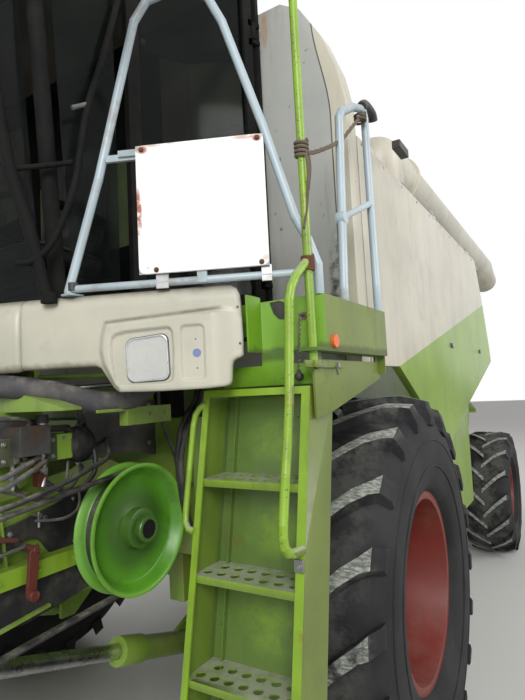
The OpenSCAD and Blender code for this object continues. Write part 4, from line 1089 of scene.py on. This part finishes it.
hose("intake_hose", [(330, -1520, 1885), (480, -1490, 1880), (640, -1455, 1874), (760, -1370, 1848),
                     (840, -1270, 1812), (880, -1190, 1808), (900, -1120, 1835), (905, -1060, 1880),
                     (900, -1000, 1960), (890, -960, 2042)], 38, "machine", "hose_grey", None, 10, 16)
HOSES = (
    ("elbow_pipe", [(700, -1482, 1770), (700, -1446, 1768), (697, -1418, 1760), (691, -1411, 1742),
                    (690, -1411, 1722)], 8, "bare_steel", None),
    ("valve_hose_a", [(560, -1640, 1760), (640, -1560, 1774), (690, -1515, 1772), (700, -1482, 1770)], 9,
     "belt_rubber", None),
    ("pressure_hose_a", [(600, -1650, 1625), (680, -1590, 1606), (715, -1529, 1592), (722, -1435, 1627),
                         (718, -1387, 1647), (700, -1362, 1657)], 9, "hose_grey", "bare_steel"),
    ("pressure_hose_b", [(600, -1655, 1605), (690, -1600, 1580), (718, -1529, 1562), (722, -1424, 1602),
                         (718, -1381, 1627), (700, -1356, 1640)], 9, "hose_grey", "bare_steel"),
    ("pressure_hose_c", [(672, -1345, 1576), (676, -1345, 1556), (690, -1300, 1520), (705, -1230, 1512),
                         (715, -1170, 1560), (690, -1150, 1640), (640, -1140, 1700), (600, -1130, 1760)], 9,
     "belt_rubber", "bare_steel"),
    ("pressure_hose_d", [(672, -1455, 1576), (676, -1455, 1558), (700, -1430, 1520), (715, -1350, 1500),
                         (720, -1270, 1530), (700, -1215, 1580), (650, -1190, 1594)], 7, "belt_rubber",
     "bare_steel"),
    ("belt_side_hose", [(700, -1640, 1490), (765, -1560, 1512), (772, -1475, 1526), (772, -1356, 1550),
                        (770, -1250, 1578), (740, -1130, 1606), (660, -1060, 1640), (612, -1020, 1660)], 9,
     "belt_rubber", None),
    ("grey_loop", [(660, -1240, 1610), (695, -1271, 1566), (700, -1285, 1540), (700, -1325, 1520),
                   (700, -1406, 1512), (700, -1452, 1531), (690, -1517, 1552), (640, -1580, 1560)], 5,
     "hose_grey", None),
    ("grey_loop_low", [(640, -1180, 1500), (690, -1219, 1454), (700, -1254, 1430), (690, -1302, 1421),
                       (640, -1360, 1425)], 5, "hose_grey", None),
    ("pillar_hose_a", [(905, -770, 2040), (905, -780, 1900), (905, -815, 1796), (905, -870, 1740),
                       (905, -914, 1679), (905, -934, 1575), (905, -926, 1474), (880, -880, 1380),
                       (822, -800, 1320)], 12, "belt_rubber", None),
    ("pillar_hose_b", [(930, -760, 2040), (930, -775, 1900), (926, -814, 1788), (925, -865, 1732),
                       (925, -914, 1666), (925, -943, 1577), (925, -941, 1478), (890, -880, 1360),
                       (822, -780, 1290)], 12, "belt_rubber", None),
    ("pillar_hose_c", [(830, -960, 2042), (815, -935, 1850), (805, -916, 1751), (800, -882, 1670),
                       (800, -837, 1585), (805, -815, 1500), (822, -760, 1450)], 7, "belt_rubber", None),
    ("deck_pipe_a", [(300, -1500, 1862), (470, -1480, 1862), (640, -1400, 1862), (790, -1250, 1862),
                     (860, -1080, 1870)], 7, "bare_steel", None),
    ("deck_pipe_b", [(300, -1500, 1905), (470, -1470, 1905), (640, -1390, 1902), (780, -1250, 1900),
                     (850, -1080, 1905)], 9, "green_paint", None),
)
for name, path, r, mat, ends in HOSES:
    hose(name, path, r, "machine", mat, ends)
bm = bmesh.new()
for pts in ([(716, -1455, 1619), (724, -1420, 1633)], [(720, -1415, 1606), (720, -1375, 1629)]):
    add_rod(bm, pts[0], pts[1], 12, 12, 0)
for y, z in ((-1452, 1621), (-1436, 1627), (-1410, 1609), (-1394, 1618)):
    add_rod(bm, (719, y, z), (719, y + 5, z + 2), 14, 12)
obj("hose_sleeves", bm, "machine", "chain_steel")

# Feeder house: stiffeners, side rails, lever, chain-tension rod
FEEDER_DROP = math.radians(6)
PIVOT = (0, -1075, 1350)


def fm_pt(x, y, z):
    """Feeder coordinates, along its own slope from the pivot shaft, to machine millimetres."""
    c, s = math.cos(FEEDER_DROP), math.sin(FEEDER_DROP)
    return (x, PIVOT[1] + y * c - z * s, PIVOT[2] + y * s + z * c)


fm_m = Matrix.Translation(p(*PIVOT)) @ Matrix.Rotation(FEEDER_DROP, 4, "X") @ Matrix.Translation(-p(0, 0, 0))
bm = bmesh.new()
for sx in (1, -1):
    side_box(bm, sx, (600, -1560, -198), (640, -250, -186), fm_m)
    side_box(bm, sx, (600, -1560, -198), (606, -250, -150), fm_m)
    side_box(bm, sx, (600, -1560, 196), (628, -270, 206), fm_m)
    for y in (-1400, -1060, -700, -380):
        side_box(bm, sx, (600, y, -186), (622, y + 8, 196), fm_m)
for x in (-400, -130, 130, 400):
    add_box(bm, (x - 20, -1560, 225), (x + 20, -260, 240), fm_m)
obj("feeder_ribs", bm, "feeder", "green_paint", 35, 0.002)
bm = bmesh.new()
for sx in (1, -1):
    for y in range(-1500, -260, 110):
        a = fm_pt(sx * 606, y, -172)
        bolt(bm, a, (sx, 0, 0), 8, 6)
    for y in (-1300, -960, -560):
        for z in (-100, 120):
            bolt(bm, fm_pt(sx * 600, y, z), (sx, 0, 0), 8, 6)
obj("feeder_bolts", bm, "feeder", "bare_steel")
bm = bmesh.new()
add_plate(bm, [(-1381, 1363), (-1402, 1352), (-1414, 1340), (-1426, 1216), (-1412, 1194), (-1394, 1204),
               (-1378, 1339)], 680, 692)
add_rod(bm, (674, -1404, 1206), (702, -1404, 1206), 17)
add_rod(bm, (606, -1392, 1346), (698, -1392, 1346), 12, 12)
obj("lock_lever", bm, "feeder", "red_rust", 35, 0.002)
bm = bmesh.new()
add_plate(bm, [(-1560, 1400), (-1461, 1416), (-1261, 1456), (-1123, 1500), (-1000, 1520), (-1000, 1262),
               (-1160, 1279), (-1285, 1298), (-1326, 1354), (-1372, 1366), (-1466, 1314), (-1560, 1300)], 606,
          612)
# the lower plate under the channel is a dark sheet standing for the shadow under the channel: painted shade
add_plate(bm, [(-1560, 1126), (-1560, 1238), (-1235, 1236), (-850, 1232), (-850, 1180), (-1235, 1120),
               (-1400, 1102)], 623, 628)
for y, z in ((-1300, 1420), (-1180, 1460), (-1180, 1310), (-1430, 1395)):
    bolt(bm, (612, y, z), (1, 0, 0), 7, 5, 1)
add_rod(bm, (612, -1345, 1440), (650, -1345, 1440), 9, 12, 1)
add_rod(bm, (640, -1345, 1400), (640, -1345, 1452), 6, 12, 1)
obj("side_shield_and_shade_plate", bm, "feeder", ["dark_panel", "bare_steel"], 35, 0.0015)
bm = bmesh.new()
add_box(bm, (606, -1560, 1240), (660, -1180, 1298))
add_plate(bm, [(-1180, 1240), (-1180, 1298), (-1120, 1278), (-1120, 1250)], 606, 640)
for y in (-1500, -1360, -1220):
    bolt(bm, (660, y, 1268), (1, 0, 0), 8, 6)
obj("feeder_channel", bm, "feeder", "bright_green_paint", 35, 0.002)
bm = bmesh.new()
add_rod(bm, (612, -1520, 1408), (700, -1500, 1404), 9, 12)
add_rod(bm, (700, -1520, 1410), (700, -1464, 1396), 7, 12)
obj("red_stub", bm, "feeder", "red_rust")
bm = bmesh.new()
a, b = fm_pt(650, -330, 40), fm_pt(650, -1180, 60)
add_rod(bm, a, b, 7, 10)
for q in (a, b):
    add_rod(bm, q, (600, q[1], q[2]), 10, 10)
obj("tension_rod", bm, "feeder", "bare_steel")
# drive pulley hub: a light ring round a recess with the shaft end in it; the recess is a flat near-black
# disc, painted shade
bm = bmesh.new()
lathe(bm, [(33, 850), (44, 850), (46, 853), (46, 878), (43, 882), (33, 882)], PIVOT, 40)
lathe(bm, [(200.3, 787), (200.9, 787), (200.9, 823), (200.3, 823)], PIVOT, 64, 1)
outward(bm)
obj("pulley_collar", bm, "drive_pulley", ["pulley_paint", "belt_rubber"], 35, 0.0008)
bm = bmesh.new()
# flat near-black disc standing for the hollow of the hub: painted shade
lathe(bm, [(3, 881), (31.5, 881), (31.5, 852), (3, 852)], PIVOT, 32)
lathe(bm, [(1, 883), (9, 883), (9, 881), (1, 881)], PIVOT, 12)
outward(bm)
obj("shaft_end_and_shade_disc", bm, "feeder", "cab_liner", 35, 0.0008)


# Cab: lining, roof trim, rear window, door beam and seat
SIDE_A = math.atan2(-860, -340)


def side_pt(t, off, z):
    """Along the cab's left side from its rear corner, outward and up, to machine millimetres."""
    return (1130 + t * math.cos(SIDE_A) - off * math.sin(SIDE_A), -520 + t * math.sin(SIDE_A)
            + off * math.cos(SIDE_A), z)


bm = bmesh.new()
add_box(bm, (-1055, -562, 2102), (1055, -549, 2600))
for sx in (1, -1):
    for x0, x1, z0, z1, k in ((420, 565, 2600, 3505, 0), (565, 1055, 2600, 2936, 0),
                              (735, 1050, 3016, 3420, 2), (735, 1055, 2936, 3016, 4),
                              (565, 735, 2936, 3505, 1), (1050, 1058, 3016, 3505, 0),
                              (735, 1055, 3420, 3505, 0)):
        side_box(bm, sx, (x0, -562 - (10 if k == 1 else 0), z0), (x1, -549, z1), index=k)
add_box(bm, (-420, -562, 3085), (420, -549, 3505))
add_box(bm, (-420, -558, 2600), (420, -549, 3085), index=2)
add_box(bm, (-430, -566, 3075), (430, -548, 3095))
obj("cab_rear_lining", bm, "machine", ["cab_liner", "post_beige", "pale_green", "dark_plastic",
                                       "olive_block"], 35, 0.003)
bm = bmesh.new()
top = [(-1010, -575), (1010, -575), (930, -760), (700, -1350), (390, -1460), (0, -1500), (-390, -1460),
       (-700, -1350), (-930, -760)]
prism(bm, [(x, y, 3612) for x, y in top], [(x, y, 3626) for x, y in top])
add_box(bm, (-380, -1440, 3560), (380, -1180, 3611), index=1)
add_box(bm, (-1000, -640, 3540), (1000, -575, 3611), index=1)
obj("cab_headliner", bm, "machine", ["head_liner", "cab_liner"], 35, 0.006)
bm = bmesh.new()
beam = [(553, 3260), (5, 3480), (5, 3360), (319, 3230), (556, 3187)]
prism(bm, [side_pt(t, -112, z) for t, z in beam], [side_pt(t, -84, z) for t, z in beam])
c, d = side_pt(304, -70, 3291), side_pt(12, -70, 3403)
add_rod(bm, c, d, 26, 8, 0)
bolt(bm, side_pt(542, -84, 3230), (-math.sin(SIDE_A), math.cos(SIDE_A), 0), 9, 8, 1)
obj("door_top_trim", bm, "machine", ["cab_liner", "bare_steel"], 35, 0.003)
bm = bmesh.new()
add_box(bm, (-560, -1180, 2102), (-290, -640, 2700))
add_box(bm, (-545, -1160, 2700), (-305, -700, 2716), index=1)
for i, y in enumerate((-1130, -1060, -990, -920)):
    add_rod(bm, (-420, y, 2716), (-420, y, 2760), 7, 10, 1)
    add_ball(bm, (-420, y, 2768), 14, 12, 2 if i == 1 else 1)
add_box(bm, (-300, -1000, 2560), (-262, -700, 2602))
obj("side_console", bm, "machine", ["cab_liner", "grey_plastic", "red_rust"], 35, 0.008)


def cushion(name, centre, size, turn, pull=0.035, crown=0.35):
    """A stuffed pad: rounded plan with its sides pulled in, crowned top, flat below, sewn welt."""
    bm = bmesh.new()
    m = Matrix.Translation(p(*centre)) @ Matrix.Rotation(math.radians(turn), 4, "X")
    w, d, h = (c / 2000 for c in size)
    n = 48
    rings = ((0.30, -1.0), (0.80, -1.0), (0.93, -0.86), (1.0, -0.45), (1.0, 0.35), (0.955, 0.66),
             (0.84, 0.86), (0.60, 0.97), (0.30, 1.0))
    rows = []
    for k, z in rings:
        row = []
        for i in range(n):
            t = 2 * math.pi * i / n
            c, e = math.cos(t), math.sin(t)
            q = (abs(c) ** 5 + abs(e) ** 5) ** -0.2 * (1 - pull * (0.5 + 0.5 * math.cos(4 * t)))
            lift = crown * h * (1 - min(1, k) ** 2) if z > 0 else 0
            groove = -0.004 if z > 0.8 and abs(abs(c * q * k) - 0.45) < 0.05 else 0
            row.append(bm.verts.new(m @ Vector((w * k * q * c, d * k * q * e, h * z + lift + groove))))
        rows.append(row)
    for a, b in zip(rows, rows[1:]):
        quads(bm, a, b)
    bm.faces.new(rows[0][::-1])
    bm.faces.new(rows[-1])
    welt = [rows[4][i].co.copy() for i in range(n)]
    outward(bm)
    sweep(bm, welt + [welt[0], welt[1]], 5, 8, 1)
    o = obj(name, bm, "machine", ["seat_fabric", "dark_plastic"], 80)
    u = o.modifiers.new("smooth", "SUBSURF")
    u.levels = u.render_levels = 1
    return o


bm = bmesh.new()
add_box(bm, (-170, -1000, 2101), (170, -700, 2420))
for z in range(2150, 2400, 40):
    add_box(bm, (-178, -1008, z), (178, -692, z + 22))
add_box(bm, (-235, -1060, 2420), (235, -640, 2444), index=1)
add_box(bm, (-200, -632, 2470), (200, -604, 3120), index=1)
for sx in (1, -1):
    add_rod(bm, (sx * 262, -690, 2700), (sx * 262, -960, 2716), 22, 16, 1)
    add_rod(bm, (sx * 205, -625, 2700), (sx * 262, -690, 2700), 14, 12, 1)
base = obj("seat_base", bm, "machine", ["dark_plastic", "cab_liner"], 35, 0.006)
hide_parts("seat")
cushion("seat_cushion", (0, -855, 2494), (496, 440, 100), -3)
cushion("seat_back", (0, -655, 2840), (472, 600, 78), 84)
bm = bmesh.new()
wheel_m = Matrix.Translation(p(0, -1180, 2860)) @ Matrix.Rotation(math.radians(-14), 4, "X")
ring = [wheel_m @ Vector((x, y, 0)) for x, y in circle(48, 0.185)]
sweep(bm, ring + ring[:1], 17.5, 10)
obj("wheel_grip", bm, "machine", "dark_plastic")

# Dark tubes in front of the windscreen and beside the door
bm = bmesh.new()
sweep(bm, smooth_path([(824, -1424, 2150), (813, -1430, 2165), (780, -1462, 2381), (724, -1486, 2571),
                       (700, -1524, 2850), (690, -1560, 3120), (690, -1590, 3400), (700, -1610, 3636)], 5),
      21, 12, 0)
add_rod(bm, (824, -1424, 2128), (824, -1424, 2160), 25)
sweep(bm, smooth_path([(740, -1476, 2262), (775, -1472, 2256), (800, -1462, 2262), (820, -1413, 2318),
                       (838, -1368, 2425), (852, -1332, 2558), (858, -1317, 2658), (869, -1289, 2826),
                       (889, -1239, 3007), (909, -1189, 3215), (905, -1165, 3290), (880, -1160, 3330)], 6),
      11, 12, 0)
sweep(bm, smooth_path([(716, -1488, 2571), (770, -1440, 2580), (845, -1340, 2610)], 5), 9, 10, 0)
add_rod(bm, (849, -1339, 2800), (872, -1282, 2833), 8, 10, 1)
obj("cab_front_tubes", bm, "machine", ["cab_liner", "grey_plastic"])

# Chain and plug at the platform, marker lamp, rope from the ladder's pole to the side rail
POLE = (1572, -1092)
bm = bmesh.new()
add_rod(bm, (1533, -1060, 2040), (1533, -1092, 2040), 5, 10)
add_rod(bm, (1533, -1060, 2040), (1533, -1064, 2040), 12, 12)
chain = smooth_path([(1533, -1085, 2040), (1527, -1085, 1984), (1522, -1085, 1920), (1519, -1085, 1872)], 9)
link_size = Matrix.Diagonal((0.0045, 0.0018, 0.0056, 1))
for i, c in enumerate(chain[:-1]):
    turn = Matrix.Rotation(i * math.pi / 2, 4, "Z")
    link = Matrix.Translation((c + chain[i + 1]) / 2) @ turn @ link_size
    bmesh.ops.create_uvsphere(bm, u_segments=8, v_segments=6, radius=1, matrix=link)
add_ball(bm, (1518, -1085, 1857), 14, 16, 1)
add_rod(bm, (1518, -1085, 1866), (1518, -1085, 1876), 6, 10, 1)
for y in (-1062, -947):
    bolt(bm, (1582, y, 1888), (1, 0, 0), 8, 6, 2)
add_rod(bm, (1582, -964, 1880), (1590, -964, 1880), 4, 8)
add_rod(bm, (1588, -964, 1882), (1588, -956, 1858), 3.5, 8)
add_front(bm, [(1417, 2094), (1430, 2058), (1448, 2040), (1486, 2036), (1489, 2081), (1452, 2096)], -1064,
          -1060, 1)
obj("plug_chain", bm, "machine", ["chain_steel", "dark_plastic", "bare_steel"])
bm = bmesh.new()
add_box(bm, (1533, -1206, 1331), (1561, -1198, 1364))
bolt(bm, (1549, -1206, 1346), (0, -1, 0.19), 7, 5)
obj("loop_bracket", bm, "ladder_swing", "bare_steel", 35, 0.0008)
bm = bmesh.new()
add_rod(bm, (1603, -1007, 1959), (1612.5, -1007, 1959), 20, 24)
obj("marker_lamp", bm, "machine", "amber")
bm = bmesh.new()
rope = smooth_path([(1572, -1094, 2536), (1578, -1054, 2538), (1581, -926, 2602), (1582, -784, 2688),
                    (1582, -659, 2790), (1584, -577, 2859)], 8)
for k in range(3):
    strand = []
    for i, q in enumerate(rope):
        turn = i * 0.9 + k * 2.094
        strand.append(q + Vector((0, math.cos(turn), math.sin(turn))) * 0.004)
    sweep(bm, strand, 4.2, 6)
rope_o = obj("ladder_rope", bm, "machine", "rope_fibre")
bm = bmesh.new()
sweep(bm, coil((*POLE, 2564), 19, 46, 0.55, 1.15), 5, 6)
sweep(bm, coil((1584, -577, 2872), 21, 30, 0.6, 1.2), 5, 6)
knots = obj("rope_knots", bm, "machine", "rope_fibre")
TAILS = [("rope_tail_long", [(1590, -1100, 2518), (1593, -1098, 2470), (1587, -1096, 2404),
                             (1580, -1098, 2345), (1573, -1108, 2291)]),
         ("rope_tail_short", [(1590, -1080, 2518), (1590, -1076, 2480), (1583, -1074, 2440),
                              (1580, -1076, 2415)])]
for name, pts in TAILS:
    bm = bmesh.new()
    tail = smooth_path(pts, 6)
    sweep(bm, tail, 4.5, 8)
    o = obj(name, bm, "machine", "rope_fibre")
bm = bmesh.new()
sweep(bm, coil((*POLE, 2211), 17.5, 60, 0.7, 0.78), 4.2, 6)
obj("pole_binding", bm, "ladder_swing", "rust_steel")

# Fittings of the sign plate, cap of the pole, grip and box of the side rail
bm = bmesh.new()
plate_m = hoop_m @ Matrix.Translation(-p(0, 0, 0))
add_box(bm, (-104, -8, 2570), (30, 4, 2592), plate_m)
for u0, u1 in ((49, 89), (378, 410)):
    add_box(bm, (u0, -12, 2150), (u1, -4, 2200), plate_m, 1)
for u, z in ((56, 2206), (382, 2206), (20, 2590), (386, 2592)):
    bolt(bm, mm(hoop_m @ Vector((u / 1000, -0.026, z / 1000))), (math.sin(swept), -math.cos(swept), 0), 6, 5,
         2)
c = mm(hoop_m @ Vector((-0.227, 0, 2.164)))
add_rod(bm, c, c + Vector((0, 0, 26)), 17, 16, 3)
obj("sign_fittings", bm, "machine", ["blue_grey_paint", "bare_steel", "rust_steel", "dark_plastic"],
    35, 0.001)
bm = bmesh.new()
add_rod(bm, (*POLE, 3146), (*POLE, 3166), 15.5)
obj("pole_cap", bm, "ladder_swing", "dark_plastic")
bm = bmesh.new()
sweep(bm, smooth_path([(1590, -570, 2905), (1592, -545, 2922), (1592, -500, 2926), (1592, -455, 2920),
                       (1590, -436, 2900)], 5), 19, 14)
add_box(bm, (1560, -86, 2925), (1600, 60, 2965))
obj("rail_grip", bm, "machine", "dark_plastic", 35, 0.004)


# Body: cover ribs, hood seams and latches, rear vents, panel latches, screen mesh, exhaust bands, tank ribs
for side, sx in (("left", 1), ("right", -1)):
    bm = bmesh.new()
    for y in (-360, 120, 600, 1080, 1560):
        side_box(bm, sx, (40, y, 3550), (950, y + 40, 3562))
    side_box(bm, sx, (20, -380, 3550), (60, 1880, 3570))
    add_rod(bm, (sx * 70, 500, 3572), (sx * 70, 900, 3572), 9, 12, 1)
    obj("cover_ribs_" + side, bm, side + "_tank_cover", ["grey_paint", "dark_steel"], 35, 0.003)
bm = bmesh.new()
for sx in (1, -1):
    for y in (2760, 2860):
        side_box(bm, sx, (860, y, 1320), (864, y + 6, 2830))
    side_box(bm, sx, (860, 2640, 1300), (866, 4840, 1312))
    for y, z in ((2700, 1500), (2700, 2100), (2700, 2600), (4700, 1420), (4760, 2200)):
        bolt(bm, (sx * 860, y, z), (sx, 0, 0), 9, 6)
obj("hood_seams", bm, "machine", "cream_paint", 35, 0.001)
bm = bmesh.new()
for sx in (1, -1):
    for y, z in ((3000, 2590), (4400, 2590)):
        side_box(bm, sx, (860, y, z), (872, y + 110, z + 26))
        add_rod(bm, (sx * 872, y + 20, z + 13), (sx * 886, y + 20, z + 13), 7, 12, 1)
        add_rod(bm, (sx * 872, y + 90, z + 13), (sx * 886, y + 90, z + 13), 7, 12, 1)
        add_rod(bm, (sx * 884, y + 14, z + 13), (sx * 884, y + 96, z + 13), 7, 12, 1)
for k in range(6):
    add_box(bm, (-420, 5350, 1830 + 42 * k), (420, 5355, 1852 + 42 * k))
for x in (-700, 0, 700):
    bolt(bm, (x, 5350, 1785), (0, 1, 0), 9, 6, 1)
obj("hood_fittings", bm, "machine", ["dark_plastic", "bare_steel"], 35, 0.001)
for side, sx in (("left", 1), ("right", -1)):
    bm = bmesh.new()
    for y in (-330, 1200, 2350):
        side_box(bm, sx, (1500, y, 2040), (1506, y + 70, 2072))
        add_rod(bm, (sx * 1506, y + 35, 2056), (sx * 1511, y + 35, 2056), 12, 20, 1)
    for y in range(-340, 2400, 300):
        add_rod(bm, (sx * 1500, y, 2868), (sx * 1502.5, y, 2868), 8, 12, 1)
    obj("panel_latches_" + side, bm, side + "_side_panel", ["dark_plastic", "bare_steel"], 35,
        0.001)
bm = bmesh.new()
SCREEN = (0, 2560, 3230)
for r in (60, 95, 130, 165, 200, 235, 258):
    lathe(bm, [(r - 2, -1389), (r + 2, -1389), (r + 2, -1385), (r - 2, -1385)], SCREEN, 48)


def spoke(x, y, z, inner, outer, r, n):
    """A bar on the screen; (y, z) is its direction from the middle."""
    add_rod(bm, (x, SCREEN[1] + inner * y, SCREEN[2] + inner * z),
            (x, SCREEN[1] + outer * y, SCREEN[2] + outer * z), r, n)


for y, z in circle(24):
    spoke(-1387, y, z, 30, 260, 1.6, 6)
for k in range(4):
    t = math.pi * k / 2 + 0.4
    spoke(-1391, math.cos(t), math.sin(t), 20, 256, 6, 8)
add_rod(bm, (-1398, 2560, 3230), (-1385, 2560, 3230), 46, 24)
outward(bm)
obj("screen_mesh", bm, "screen_rotor", "bare_steel")
bm = bmesh.new()
for z in (3300, 3392):
    add_rod(bm, (945, 2700, z), (945, 2700, z + 14), 84, 32)
add_rod(bm, (945, 2700, 3770), (945, 2700, 3784), 54, 32)
add_rod(bm, (945, 2700, 3800), (945, 2700, 3803), 54, 32)
for k in range(10):
    add_box(bm, (1022, 2692, 2960 + 32 * k), (1027, 2708, 2978 + 32 * k))
obj("exhaust_bands", bm, "machine", "rust_steel", 35, 0.001)
bm = bmesh.new()
for y in (-250, 250, 750, 1250, 1700):
    for sx in (1, -1):
        side_box(bm, sx, (1000, y, 2960), (1006, y + 30, 3500))
obj("tank_ribs", bm, "machine", "grey_paint", 35, 0.002)


# Stage and light
me = bpy.data.meshes.new("floor")
bm = bmesh.new()
bmesh.ops.create_grid(bm, x_segments=1, y_segments=1, size=40)
bm.to_mesh(me)
bm.free()
floor = bpy.data.objects.new("floor", me)
bpy.context.scene.collection.objects.link(floor)
floor.location.z = -0.0005
floor_m = bpy.data.materials.new("floor")
floor_m.use_nodes = True
floor_shader = floor_m.node_tree.nodes["Principled BSDF"]
floor_shader.inputs["Base Color"].default_value = (0.62, 0.61, 0.59, 1)
floor_shader.inputs["Roughness"].default_value = 0.9
me.materials.append(floor_m)

world = bpy.data.worlds.new("studio")
bpy.context.scene.world = world
world.use_nodes = True
wt = world.node_tree
bg = wt.nodes["Background"]
lp = wt.nodes.new("ShaderNodeLightPath")
seen = lp.outputs["Is Camera Ray"]
for ray in ("Is Transmission Ray", "Is Glossy Ray"):
    either = wt.nodes.new("ShaderNodeMath")
    either.operation = "MAXIMUM"
    wt.links.new(seen, either.inputs[0])
    wt.links.new(lp.outputs[ray], either.inputs[1])
    seen = either.outputs[0]
mixn = wt.nodes.new("ShaderNodeMix")
mixn.data_type = "FLOAT"
mixn.inputs[2].default_value = 0.45
mixn.inputs[3].default_value = 1.0
wt.links.new(seen, mixn.inputs[0])
wt.links.new(mixn.outputs[0], bg.inputs["Strength"])
bg.inputs["Color"].default_value = (1, 1, 1, 1)


def lamp(name, at, to, size, power):
    d = bpy.data.lights.new(name, "AREA")
    d.shape, d.size, d.energy = "SQUARE", size, power
    o = bpy.data.objects.new(name, d)
    bpy.context.scene.collection.objects.link(o)
    o.location = at
    o.rotation_mode = "QUATERNION"
    o.rotation_quaternion = (Vector(to) - Vector(at)).to_track_quat("-Z", "Y")


lamp("key", (5.5, -9.5, 6.0), (0.8, -2.0, 1.8), 4.0, 620)
lamp("fill", (10.0, 1.5, 5.5), (1.0, 0.5, 1.6), 5.0, 420)
lamp("back", (-7.0, 8.0, 6.5), (0, 2.0, 2.0), 5.0, 420)

bpy.context.scene.view_settings.view_transform = "Standard"
